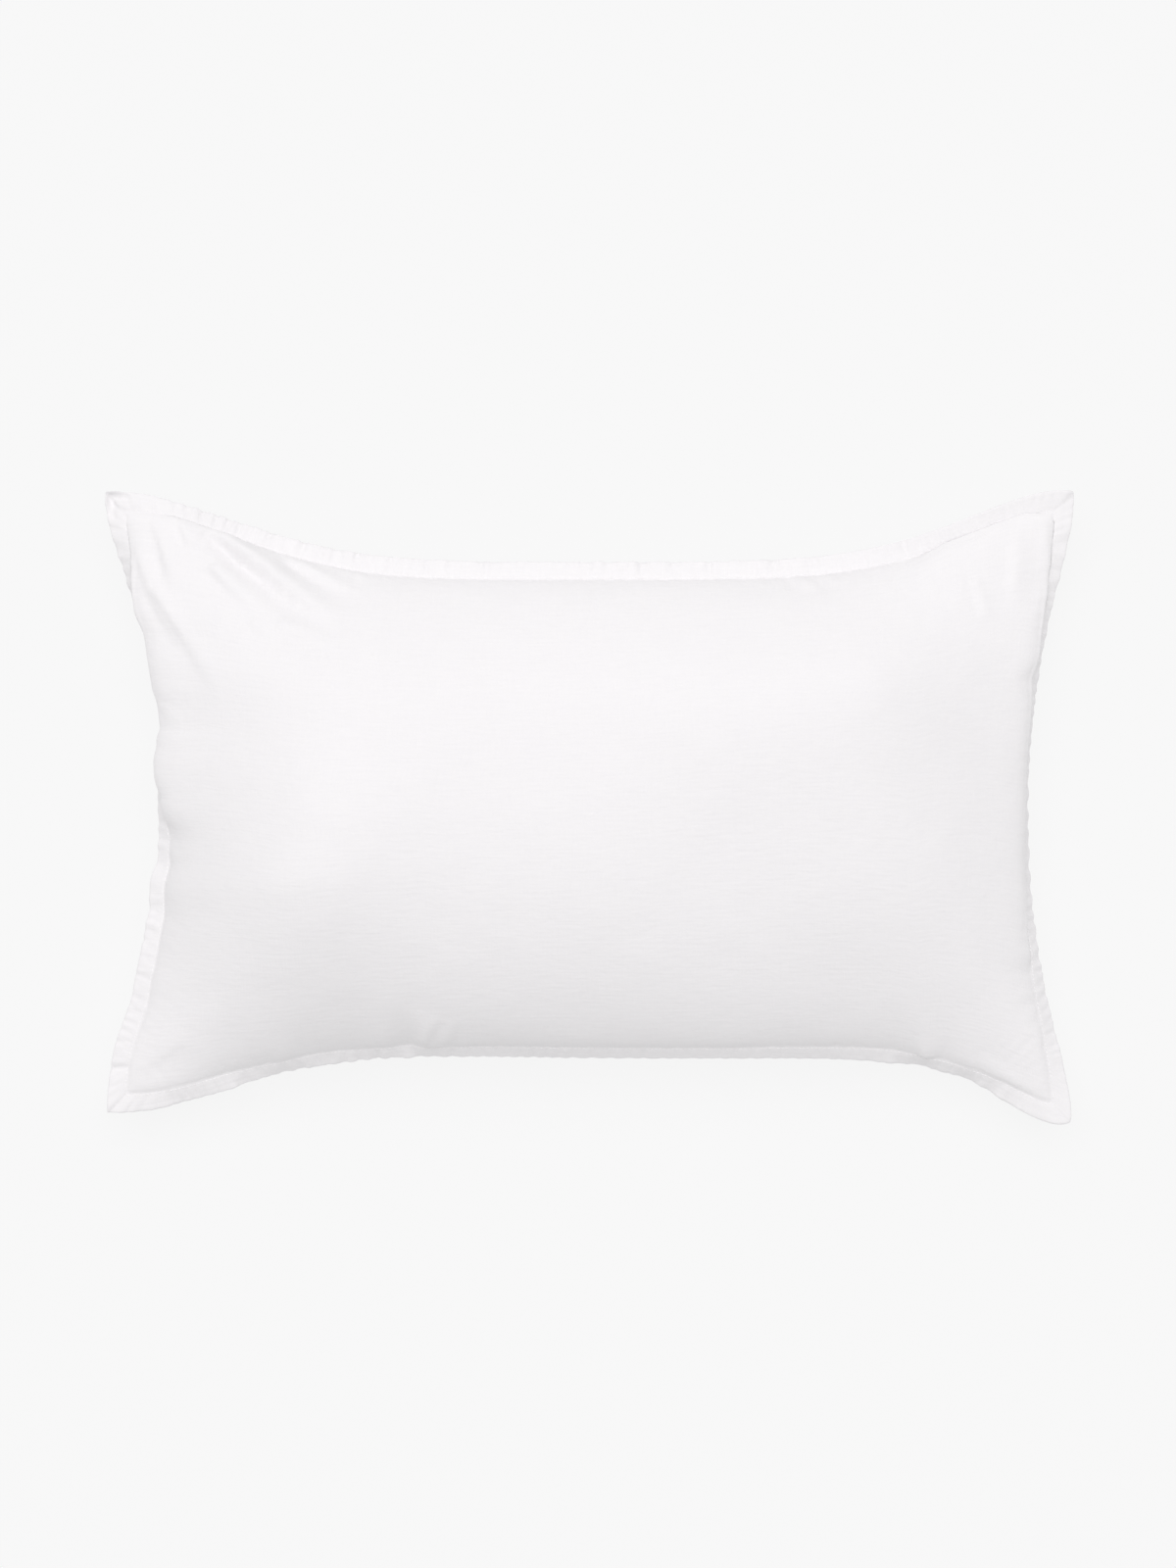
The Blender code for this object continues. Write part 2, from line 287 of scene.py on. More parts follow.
FRONT_LUMPS = tuple(
    Lump(*row)
    for row in (
        (0.080, 0.085, 0.0030, 0.085), (-0.190, 0.010, 0.0025, 0.080),
        (-0.070, -0.085, -0.0030, 0.060), (0.210, -0.060, 0.0025, 0.075),
        (0.245, 0.085, -0.0020, 0.060), (-0.260, -0.160, 0.0170, 0.048),
        (-0.220, -0.080, 0.0160, 0.065), (-0.275, -0.080, 0.0160, 0.065),
        (-0.220, -0.040, 0.0140, 0.065), (-0.165, -0.080, -0.0055, 0.040),
        (-0.110, -0.160, 0.0115, 0.040), (-0.275, 0.000, -0.0100, 0.040),
        (-0.055, 0.040, -0.0080, 0.065), (0.000, 0.080, -0.0080, 0.065),
        (0.110, -0.040, -0.0140, 0.065), (0.165, 0.120, 0.0100, 0.065),
        (0.220, 0.120, 0.0110, 0.040), (0.255, 0.170, 0.0030, 0.045),
        (0.305, 0.135, -0.0120, 0.048), (0.330, 0.080, -0.0085, 0.065),
        (0.275, -0.120, 0.0065, 0.040), (0.165, -0.160, -0.0065, 0.065),
        (-0.120, -0.070, -0.0045, 0.070), (0.000, -0.070, -0.0050, 0.070),
        (0.120, -0.070, -0.0045, 0.070),
    )
)


class Fold(NamedTuple):
    """A fold of the front panel, from the stitching or the corner it starts at to where it dies.

    It bows sideways in between. Its trough lies along the line, and its ridge a width to the left
    of it as it runs, steep towards the trough and soft beyond.
    """

    x0: float
    y0: float
    x1: float
    y1: float
    bow: float
    height: float
    width: float


FRONT_FOLDS = tuple(
    Fold(*row)
    for row in (
        (-0.2920, 0.2120, -0.1860, 0.1290, -0.0030, 0.0066, 0.0054),
        (-0.2330, 0.1890, -0.1720, 0.1540, -0.0020, 0.0034, 0.0050),
        (-0.2080, 0.1830, -0.1650, 0.1670, 0.0010, 0.0024, 0.0040),
        (-0.2900, 0.1800, -0.2480, 0.1400, -0.0010, 0.0026, 0.0056),
        (-0.2560, 0.1340, -0.2380, 0.1240, 0.0000, 0.0012, 0.0054),
        (-0.2360, 0.1320, -0.1900, 0.1080, 0.0030, 0.0022, 0.0054),
        (-0.3370, 0.2210, -0.3200, 0.1600, 0.0015, 0.0034, 0.0050),
        (-0.3330, 0.1650, -0.2820, 0.0820, 0.0000, 0.0016, 0.0050),
        (-0.3140, 0.2160, -0.3060, 0.1960, 0.0000, 0.0036, 0.0036),
        (-0.3490, 0.2020, -0.3080, 0.1120, -0.0050, 0.0022, 0.0050),
        (0.3410, 0.2180, 0.3340, 0.1450, 0.0020, 0.0031, 0.0060),
        (0.3190, 0.2090, 0.3120, 0.1480, 0.0000, 0.0019, 0.0060),
        (0.2870, 0.1740, 0.2940, 0.1380, 0.0000, 0.0014, 0.0036),
        (0.1480, 0.1790, 0.1650, 0.1590, 0.0000, 0.0024, 0.0036),
        (0.1700, 0.1790, 0.1850, 0.1620, 0.0000, 0.0018, 0.0034),
        (-0.1220, -0.1800, -0.1100, -0.1580, 0.0000, 0.0015, 0.0036),
        (-0.1060, -0.1800, -0.0970, -0.1620, 0.0000, 0.0012, 0.0036),
        (0.3420, -0.2130, 0.2950, -0.1840, 0.0000, 0.0016, 0.0055),
        (-0.3420, -0.2060, -0.2980, -0.1790, 0.0000, 0.0012, 0.0060),
    )
)


# --------------------------------------------------------------------------------------------
# Surfaces
# --------------------------------------------------------------------------------------------


def eased(place: Array) -> Array:
    """A smooth step from 0 at 0 to 1 at 1."""
    place = np.clip(place, 0, 1)
    return place * place * (3 - 2 * place)


class Ramp(NamedTuple):
    """Where a value starts to rise from 0, and how far beyond that it has come to 1."""

    start: float
    span: float

    def at(self, place: Array) -> Array:
        """The ramp's value at a place."""
        return eased((place - self.start) / self.span)


def patchy(x: Array, y: Array, cell: float, seed: int) -> Array:
    """Smooth unevenness: a lattice of random heights, with an eased blend inside each cell.

    Args:
        x, y: Places in metres.
        cell: The lattice's spacing in metres.
        seed: Which lattice to take.

    Returns:
        Heights from about -1 to 1.
    """
    lattice = np.random.default_rng(seed).uniform(-1, 1, (256, 256))
    column, row = np.floor(x / cell).astype(int), np.floor(y / cell).astype(int)
    across, along = eased(x / cell - column), eased(y / cell - row)

    def corner(i: int, j: int) -> Array:
        """The lattice's heights at one corner of each place's cell."""
        return lattice[(column + i) % 256, (row + j) % 256]

    low = corner(0, 0) * (1 - across) + corner(1, 0) * across
    high = corner(0, 1) * (1 - across) + corner(1, 1) * across
    return low * (1 - along) + high * along


def grid_normals(points: Array) -> Array:
    """The unit normals of a grid of points, by the cross product of its two directions."""
    normal = np.cross(np.gradient(points, axis=0), np.gradient(points, axis=1))
    return normal / np.maximum(np.linalg.norm(normal, axis=-1, keepdims=True), 1e-12)


def distance_along(points: Array, axis: int) -> Array:
    """The distance run over a grid of points along one of its directions, from 0.

    Args:
        points: A grid or a row of points.
        axis: The direction.

    Returns:
        A distance for each point.
    """
    steps = np.linalg.norm(np.diff(points, axis=axis), axis=-1)
    start = np.zeros_like(np.take(steps, [0], axis=axis))
    return np.concatenate([start, np.cumsum(steps, axis=axis)], axis=axis)


def distance_round(ring: Array) -> tuple[Array, float]:
    """The distance run round a closed ring of points, from 0, and the whole way round."""
    steps = np.linalg.norm(np.roll(ring, -1, axis=0) - ring, axis=1)
    return np.cumsum(steps) - steps, steps.sum()


def between_stations(table: tuple[Station, ...], t: Array) -> Array:
    """A table's values at t, eased between the places of its rows.

    Args:
        table: The rows, in the order of their places.
        t: Places from -1 to 1.

    Returns:
        Values of t's shape.
    """
    places, values = np.array(table, dtype=float).T
    index = np.searchsorted(places, t, side="right").clip(1, len(places) - 1) - 1
    share = eased((t - places[index]) / (places[index + 1] - places[index]))
    return values[index] * (1 - share) + values[index + 1] * share


def dense_ends(count: int) -> Array:
    """Places from -1 to 1 that lie closer together towards both ends: 1.22 * t - 0.22 * t ** 3."""
    t = np.linspace(-1, 1, count)
    return 1.22 * t - 0.22 * t**3


def border_of(grid: Array) -> Array:
    """A grid's border values as a closed ring, anticlockwise from the lower left corner."""
    return np.concatenate([grid[:-1, 0], grid[-1, :-1], grid[:0:-1, -1], grid[0, :0:-1]])


def between_knots(values: Array, knots: Array, u: Array, v: Array) -> Array:
    """Values at u and v from a square table over the same knots both ways, mixed in each cell.

    Args:
        values: The table.
        knots: The places of its rows and columns.
        u, v: The places asked for.

    Returns:
        Values of u's shape.
    """
    column, row = (np.interp(place, knots, np.arange(len(knots))) for place in (u, v))
    i, j = (np.floor(place).astype(int).clip(0, len(knots) - 2) for place in (column, row))
    a, b = column - i, row - j
    low = values[i, j] * (1 - a) + values[i + 1, j] * a
    high = values[i, j + 1] * (1 - a) + values[i + 1, j + 1] * a
    return low * (1 - b) + high * b


def blend_matrix(places: Array, count: int, closed: bool = False) -> Array:
    """The shares in which a row's values are mixed at places between them.

    Each place takes the four values about it in the shares of a cubic that passes through every
    value with the slope between its neighbours.

    Args:
        places: Places in steps of the row's spacing.
        count: How many values the row has.
        closed: Whether the row runs back to its start.

    Returns:
        A matrix with a row for each place.
    """
    first = np.floor(places).astype(int)
    if not closed:
        first = first.clip(0, count - 2)
    t = places - first
    shares = (2 * t**2 - t - t**3, 3 * t**3 - 5 * t**2 + 2, 4 * t**2 + t - 3 * t**3, t**3 - t**2)
    matrix = np.zeros((len(places), count))
    for offset, share in enumerate(shares, start=-1):
        index = (first + offset) % count if closed else (first + offset).clip(0, count - 1)
        np.add.at(matrix, (np.arange(len(places)), index), share / 2)
    return matrix


@dataclass(frozen=True)
class CaseForm:
    """The filled case's shape, as surfaces over u and v, both from -1 to 1 across the panels."""

    length: float = 0.735
    width: float = 0.480
    front_crown: float = 0.0835
    back_crown: float = 0.126
    power_long: float = 2.5
    power_short: float = 2.1
    seam_pinch: float = 0.100
    top_pinch: float = 0.480
    bottom_pinch: float = 0.420
    side_pinch: float = 0.220
    top_rise: Ramp = Ramp(0.45, 0.4)
    bottom_rise: Ramp = Ramp(0.2, 0.7)
    side_rise: Ramp = Ramp(0.6, 0.3)
    away_from_corner: Ramp = Ramp(-0.8, 0.3)
    flange_width: float = 0.0145
    mitre_reach: float = 0.032
    contact_bend: float = 0.011
    lap_x: float = -0.2150
    lap_thickness: float = 0.0016
    bulge_out: float = 0.010
    bulge_reach: float = 0.008
    bulge_seen: float = 0.0042
    bulge_onset: float = 48.0
    bulge_range: float = 26.0
    bulge_fade: float = 0.12
    fold_onset: float = 0.10
    fold_trough: float = 0.7
    fold_samples: int = 40
    fold_near: float = 7.0
    fold_start_width: float = 0.75
    fold_widening: float = 0.75
    fold_entry: float = 0.1

    # The flanks of a fold's ridge and of its trough, in its widths: on the right of it as the
    # fold runs, and then on the left.
    ridge_flanks: tuple[float, float] = (0.75, 1.7)
    trough_flanks: tuple[float, float] = (1.9, 0.8)

    def stitched_corner(self, corner: Corner) -> Array:
        """The corner of the stitching, a flange's width in from the case's corner both ways.

        Args:
            corner: The outer corner.

        Returns:
            Its x, y and z.
        """
        x = corner.along * self.length / 2 - np.sign(corner.along) * self.flange_width
        y = corner.across * self.width / 2 - np.sign(corner.across) * self.flange_width
        return np.array([x, y, corner.height])

    def lean(self, name: SideName, t: Array) -> Array:
        """The flange's lean below the level at t, in radians."""
        return np.radians(between_stations(LEANS[name], t))

    def bulge(self, name: SideName, t: Array) -> Array:
        """How much of its full size the panel's bulge over a side's flange has at t.

        Args:
            name: Which side.
            t: Places along it from -1 to 1.

        Returns:
            Shares from 0 to 1.
        """
        leaning = eased((np.degrees(self.lean(name, t)) - self.bulge_onset) / self.bulge_range)
        leaning *= eased((1 - np.abs(t)) / self.bulge_fade)
        return np.maximum(leaning, between_stations(TUCKS[name], t))

    def stitch_line(self, name: SideName, t: Array) -> Array:
        """One side's line of stitching.

        It runs straight between the stitched corners, moved inwards by
        depth * (1 - |t| ** flat) ** ease and upwards by a parabola. Where the flange leans, the
        line moves out again by what its lean hides, so that the outline stays.

        Args:
            name: Which side.
            t: Places along it from -1 to 1, of any shape.

        Returns:
            Points of t's shape, with a last axis for x, y and z.
        """
        side = SIDES[name]
        share = ((t + 1) / 2)[..., None]
        start, end = self.stitched_corner(side.start), self.stitched_corner(side.end)
        points = start * (1 - share) + end * share
        flat = np.where(t < 0, side.flat_a, side.flat_b)
        ease = np.where(t < 0, side.ease_a, side.ease_b)
        drawn = side.depth * (1 - np.abs(t) ** flat).clip(0) ** ease
        seen = self.flange_width * np.cos(self.lean(name, t))
        seen = np.maximum(seen, self.bulge_seen * self.bulge(name, t))
        hidden = (self.flange_width - seen) * (1 - t**2)
        if name is SideName.LEFT:
            drawn = drawn + between_stations(LEFT_OFFSETS, t) * MM
        points[..., :2] += (drawn - hidden)[..., None] * np.array(side.inward, dtype=float)
        points[..., 2] += (side.height - (start[2] + end[2]) / 2) * (1 - t**2)
        return points

    def middle(self, u: Array, v: Array) -> Array:
        """The surface blended between the four lines of stitching, which both panels stand on.

        Args:
            u, v: Places across the panels from -1 to 1.

        Returns:
            Points of u's shape, with a last axis for x, y and z.
        """
        s, r = ((u + 1) / 2)[..., None], ((v + 1) / 2)[..., None]
        bottom, top = self.stitch_line(SideName.BOTTOM, u), self.stitch_line(SideName.TOP, u)
        left, right = self.stitch_line(SideName.LEFT, v), self.stitch_line(SideName.RIGHT, v)
        lower = self.stitched_corner(LOWER_LEFT) * (1 - s) + self.stitched_corner(LOWER_RIGHT) * s
        upper = self.stitched_corner(UPPER_LEFT) * (1 - s) + self.stitched_corner(UPPER_RIGHT) * s
        return bottom * (1 - r) + top * r + left * (1 - s) + right * s - lower * (1 - r) - upper * r

    def crown(self, u: Array, v: Array) -> Array:
        """The rise from 0 at the stitching to 1 in the middle.

        It is the root of the two sides' profiles multiplied, drawn down close to the stitching
        because the cloth is held together there, and more so along the top, the bottom and the
        middle of both sides.

        Args:
            u, v: Places across the panels from -1 to 1.

        Returns:
            Shares of the full rise.
        """
        share = (1 - np.abs(u) ** self.power_long) * (1 - np.abs(v) ** self.power_short)
        top = (self.top_pinch - self.seam_pinch) * self.top_rise.at(v)
        bottom = (self.bottom_pinch - self.seam_pinch) * self.bottom_rise.at(-v)
        side = (self.side_pinch - self.seam_pinch) * self.side_rise.at(np.abs(u))
        pinch = self.seam_pinch + top + bottom + side * self.away_from_corner.at(-np.abs(v))
        return share / np.sqrt(share + pinch) * math.sqrt(1 + self.seam_pinch)

    def swell(self, u: Array, v: Array) -> tuple[Array, Array]:
        """How far the front panel moves in x and in y to bulge over the leaning flange.

        At a distance d from the stitching it is out * d / reach * e ** (1 - d / reach).

        Args:
            u, v: Places across the panels from -1 to 1.

        Returns:
            The movements in x and in y.
        """

        def bump(t: Array, half: float) -> Array:
            """The movement at t, where the side is a half length or half width from the middle."""
            distance = (1 - np.abs(t)) * half / self.bulge_reach
            return self.bulge_out * distance * np.exp(1 - distance)

        side = np.where(u < 0, -self.bulge(SideName.LEFT, v), self.bulge(SideName.RIGHT, v))
        top = np.where(v < 0, -self.bulge(SideName.BOTTOM, u), self.bulge(SideName.TOP, u))
        return bump(u, self.length / 2) * side, bump(v, self.width / 2) * top

    def lumps(self, points: Array) -> Array:
        """The filling's swells and hollows at points, each a round bell.

        Args:
            points: Places on the front panel.

        Returns:
            Heights in metres.
        """
        height = np.zeros(points.shape[:-1])
        for lump in FRONT_LUMPS:
            away = (points[..., 0] - lump.x) ** 2 + (points[..., 1] - lump.y) ** 2
            height += lump.height * np.exp(-away / (2 * lump.reach**2))
        return height

    def folds(self, points: Array) -> Array:
        """The front's folds at points.

        Each is height * (ridge - fold_trough * trough), both bells of the distance from the
        fold's line in widths, and each with a steep flank and a soft one. The width grows along
        the fold. The height comes in over the fold's entry and fades to 0 at its end.

        Args:
            points: Places on the front panel.

        Returns:
            Heights in metres.
        """
        height = np.zeros(points.shape[:-1])
        s = np.linspace(0, 1, self.fold_samples)
        for fold in FRONT_FOLDS:
            start, end = np.array([fold.x0, fold.y0]), np.array([fold.x1, fold.y1])
            run = end - start
            left = np.array([-run[1], run[0]]) / np.linalg.norm(run)
            line = start + s[:, None] * run + (4 * s * (1 - s) * fold.bow)[:, None] * left
            reach = self.fold_near * fold.width
            near = np.all(
                (points[..., :2] > line.min(axis=0) - reach)
                & (points[..., :2] < line.max(axis=0) + reach),
                axis=-1,
            )
            away = points[near][:, None, :2] - line
            nearest = np.linalg.norm(away, axis=-1).argmin(axis=-1)
            offset = np.take_along_axis(away, nearest[:, None, None], axis=1)[:, 0]
            place = s[nearest]
            width = fold.width * (self.fold_start_width + self.fold_widening * place)
            distance = np.linalg.norm(offset, axis=-1) / width
            distance *= np.where(offset @ left < 0, -1, 1)
            ridge = np.exp(-(((distance - 1) / np.where(distance < 1, *self.ridge_flanks)) ** 2))
            trough = np.exp(-((distance / np.where(distance < 0, *self.trough_flanks)) ** 2))
            fade = (place / self.fold_entry).clip(0, 1) ** 0.5 * (1 - place**3)
            height[near] += fold.height * fade * (ridge - self.fold_trough * trough)
        return height

    def smooth_front(self, u: Array, v: Array) -> Array:
        """The front panel without its folds: its crown and lumps over the middle surface.

        Args:
            u, v: Places across the panels from -1 to 1.

        Returns:
            Points of u's shape, with a last axis for x, y and z.
        """
        points = self.middle(u, v)
        out_x, out_y = self.swell(u, v)
        points[..., 0] += out_x
        points[..., 1] += out_y
        points[..., 2] += (self.front_crown + self.lumps(points)) * self.crown(u, v)
        return points

    def fold_relief(self, points: Array, u: Array, v: Array) -> Array:
        """The folds' heights on the front panel, from 0 at the stitching."""
        return self.folds(points) * (self.crown(u, v) / self.fold_onset).clip(0, 1)

    def settled(self, height: Array) -> Array:
        """Heights bent onto the surface: unchanged above the bend and 0 under it.

        Args:
            height: Heights over the surface, or under it where negative.

        Returns:
            Heights of 0 or more.
        """
        bend = self.contact_bend
        low = np.where(height < -bend, 0, (height + bend) ** 2 / (4 * bend))
        return np.where(height > bend, height, low)

    def back(self, u: Array, v: Array) -> Array:
        """The back panel: its crown downwards, settled on the surface it lies on.

        Args:
            u, v: Places across the panels from -1 to 1.

        Returns:
            Points of u's shape, with a last axis for x, y and z.
        """
        points = self.middle(u, v)
        points[..., 2] = self.settled(points[..., 2] - self.back_crown * self.crown(u, v))
        return points


@dataclass(frozen=True)
class Gathers:
    """Small puckers that run away from a line of stitching, one row of numbers for each.

    Each is a ridge or a furrow across the line: height * exp(-|(place - centre) / width| **
    sharpness), which slants as it goes and dies away over its length.
    """

    spacing: float
    spacing_spread: float
    height: float
    width: float
    length: float
    seed: int
    sharpness: float = 2.0
    furrows: float = 0.5
    height_range: tuple[float, float] = (0.25, 1.0)
    width_range: tuple[float, float] = (0.6, 1.5)
    length_range: tuple[float, float] = (0.5, 1.6)
    slant_range: tuple[float, float] = (-0.5, 0.5)

    def heights(self, place: Array, away: Array, whole: float) -> Array:
        """The puckers' heights.

        Args:
            place: Distances along the stitching.
            away: Distances from the stitching, of the same shape.
            whole: The stitching's length.

        Returns:
            Heights of the same shape.
        """
        random = np.random.default_rng(self.seed)
        count = int(whole / self.spacing)
        spread = random.uniform(-self.spacing_spread, self.spacing_spread, count)
        centre = (np.arange(count) + 0.5 + spread) * whole / count
        sign = np.where(random.uniform(0, 1, count) < self.furrows, -1, 1)
        height = self.height * random.uniform(*self.height_range, count) * sign
        width = self.width * random.uniform(*self.width_range, count)
        length = self.length * random.uniform(*self.length_range, count)
        slant = random.uniform(*self.slant_range, count)
        total = np.zeros(np.broadcast(place, away).shape)
        for middle, rise, wide, reach, lean in zip(centre, height, width, length, slant):
            across = np.abs((place - middle - lean * away) / wide)
            total += rise * np.exp(-(across**self.sharpness) - away / reach)
        return total


@dataclass
class ClothMesh:
    """A mesh as it is put together: its points, their places in the cloth, and its faces."""

    points: list[Array] = field(default_factory=list)
    places: list[Array] = field(default_factory=list)
    faces: list[list[int]] = field(default_factory=list)
    count: int = 0

    def add_points(self, points: Array, places: Array) -> Array:
        """Adds a grid or ring of points and returns their numbers, in the same shape.

        Args:
            points: The points.
            places: Their places in the flat cloth.

        Returns:
            The numbers of the points.
        """
        shape = points.shape[:-1]
        number = self.count + np.arange(int(np.prod(shape))).reshape(shape)
        self.points.append(points.reshape(-1, 3))
        self.places.append(places.reshape(-1, 3))
        self.count += number.size
        return number

    def add_quads(self, *corners: Array) -> None:
        """Adds faces from arrays with the numbers of their first, second and further corners."""
        self.faces += np.stack(corners, axis=-1).reshape(-1, len(corners)).tolist()

    def add_grid(self, number: Array, panel: Panel) -> None:
        """Adds a grid's quads, facing up on the front panel and down on the back one."""
        a, b, c, d = number[:-1, :-1], number[1:, :-1], number[1:, 1:], number[:-1, 1:]
        self.add_quads(*((a, b, c, d) if panel is Panel.FRONT else (d, c, b, a)))

    def add_panel(self, inner: Array, ring: Array, panel: Panel) -> None:
        """Adds a panel's faces and joins them to a ring that has more points than its border.

        Args:
            inner: The numbers of the panel's points without its border.
            ring: The numbers of the ring's points, some of which are the border's.
            panel: Which panel it is.
        """
        self.add_grid(inner, panel)
        whole = np.pad(inner, 1, constant_values=-1)
        border = border_of(np.arange(whole.size).reshape(whole.shape))
        spans = ring.reshape(len(border), -1)
        whole.reshape(-1)[border] = spans[:, 0]
        between = {}
        for span, after in zip(spans.tolist(), np.roll(spans[:, 0], -1).tolist()):
            between[span[0], after] = span[1:]
            between[after, span[0]] = span[:0:-1]
        outer = np.ones((whole.shape[0] - 1, whole.shape[1] - 1), dtype=bool)
        outer[1:-1, 1:-1] = False
        cells = (whole[:-1, :-1], whole[1:, :-1], whole[1:, 1:], whole[:-1, 1:])
        faces = np.stack([cell[outer] for cell in cells], axis=-1)
        for face in (faces if panel is Panel.FRONT else faces[:, ::-1]).tolist():
            full = []
            for here, there in zip(face, face[1:] + face[:1]):
                full += [here, *between.get((here, there), [])]
            self.faces.append(full)

    def add_band(self, first: Array, second: Array) -> None:
        """Adds the quads between two closed rings with as many points."""
        self.add_quads(first, second, np.roll(second, -1), np.roll(first, -1))

    def make(self, name: str) -> bpy.types.Object:
        """Makes the object and keeps each point's place in the cloth as an attribute.

        Args:
            name: The piece's name.

        Returns:
            The object, linked to the scene.
        """
        points, places = np.concatenate(self.points), np.concatenate(self.places)
        mesh = bpy.data.meshes.new(name)
        mesh.from_pydata(points.tolist(), [], self.faces)
        mesh.validate()
        attribute = mesh.attributes.new(CLOTH_PLACE, "FLOAT_VECTOR", "POINT")
        attribute.data.foreach_set("vector", places.astype(np.float32).ravel())
        mesh.shade_smooth()
        piece = bpy.data.objects.new(name, mesh)
        bpy.context.scene.collection.objects.link(piece)
        return piece


# --------------------------------------------------------------------------------------------
# How the cloth settles
# --------------------------------------------------------------------------------------------


class GatheredCorner(NamedTuple):
    """A corner round which the cloth is gathered: its place, the spare length and its reach."""

    across: Edge
    along: Edge
    spare: float
    reach: float


@dataclass(frozen=True)
class Spare:
    """How much longer the cloth is than the smooth shape at each point, by direction.

    Along a direction with the shares a and b of x and y it is xx * a * a + 2 * xy * a * b +
    yy * b * b.
    """

    xx: Array
    xy: Array
    yy: Array

    def along(self, first: tuple, second: tuple, a: float, b: float) -> Array:
        """The factor on the lengths between the points of two slices, in a direction."""
        spare = self.xx * a * a + 2 * self.xy * a * b + self.yy * b * b
        return 1 + (spare[first] + spare[second]) / 2


@dataclass
class Sheet:
    """A panel while it settles: its points, their movement and the lengths they keep.

    The lengths go by the step between the two points of each pair: one apart along a row or
    column, across a cell, and two and four apart, which stiffen it against sharp bends.
    """

    points: Array
    outward: int
    spare: Spare
    start: Array = field(init=False)
    speed: Array = field(init=False)
    lengths: dict[tuple[int, int], Array] = field(init=False)
    diagonals: tuple[Array, Array] = field(init=False)

    def __post_init__(self) -> None:
        """Measures the lengths on the smooth shape and adds the spare length to them."""
        self.start = self.points.copy()
        self.speed = np.zeros_like(self.points)
        self.lengths = {}
        for step in (1, 2, 4):
            ahead, behind = np.s_[step:], np.s_[:-step]
            self.lengths[step, 0] = self.measured(ahead, behind, 1, 0)
            self.lengths[step, 1] = self.measured(np.s_[:, step:], np.s_[:, :-step], 0, 1)
        half = math.sqrt(0.5)
        rising = self.measured(np.s_[1:, 1:], np.s_[:-1, :-1], half, half)
        falling = self.measured(np.s_[1:, :-1], np.s_[:-1, 1:], half, -half)
        self.diagonals = rising, falling

    def measured(self, first: Any, second: Any, a: float, b: float) -> Array:
        """The cloth's lengths between the points of two slices, in a direction."""
        apart = np.linalg.norm(self.points[first] - self.points[second], axis=-1)
        return apart * self.spare.along(first, second, a, b)

    def pull(self, first: tuple, second: tuple, length: Array, share: float) -> None:
        """Moves each pair of points a share of the way to being its length apart.

        Args:
            first, second: The slices that hold the two points of each pair.
            length: How far apart the cloth keeps them.
            share: The share of the way.
        """
        between = self.points[second] - self.points[first]
        apart = np.sqrt(np.einsum("...i,...i", between, between))
        move = (0.5 * share * (apart - length) / apart)[..., None] * between
        self.points[first] += move
        self.points[second] -= move

    def keep_lengths(self, step: int, axis: int, share: float) -> None:
        """Keeps the lengths between points a step apart along an axis, in turns that don't meet.

        Args:
            step: How many points apart the two of a pair are.
            axis: The direction.
            share: The share of the way.
        """
        count = self.points.shape[axis]
        every = slice(None)
        for start in range(2 * step):
            pairs = len(range(start, count - step, 2 * step))
            if not pairs:
                continue
            near = slice(start, start + 2 * step * (pairs - 1) + 1, 2 * step)
            far = slice(near.start + step, near.stop + step, 2 * step)
            if axis == 0:
                self.pull((near, every), (far, every), self.lengths[step, 0][near], share)
            else:
                self.pull((every, near), (every, far), self.lengths[step, 1][:, near], share)

    def keep_square(self, share: float) -> None:
        """Keeps the lengths across the cells, in turns that don't meet.

        Args:
            share: The share of the way.
        """
        columns, rows = self.points.shape[:2]
        low, high = slice(0, rows - 1), slice(1, rows)
        for start in range(2):
            pairs = len(range(start, columns - 1, 2))
            near = slice(start, start + 2 * pairs - 1, 2)
            far = slice(start + 1, start + 2 * pairs, 2)
            self.pull((near, low), (far, high), self.diagonals[0][near], share)
            self.pull((near, high), (far, low), self.diagonals[1][near], share)

    def put_border(self, ring: Array) -> None:
        """Puts a closed ring's points on the panel's border.

        Args:
            ring: The points, anticlockwise from the lower left corner.
        """
        columns, rows = self.points.shape[0] - 1, self.points.shape[1] - 1
        bottom, right, top, left = np.split(ring, np.cumsum([columns, rows, columns]))
        self.points[:-1, 0], self.points[-1, :-1] = bottom, right
        self.points[:0:-1, -1], self.points[0, :0:-1] = top, left


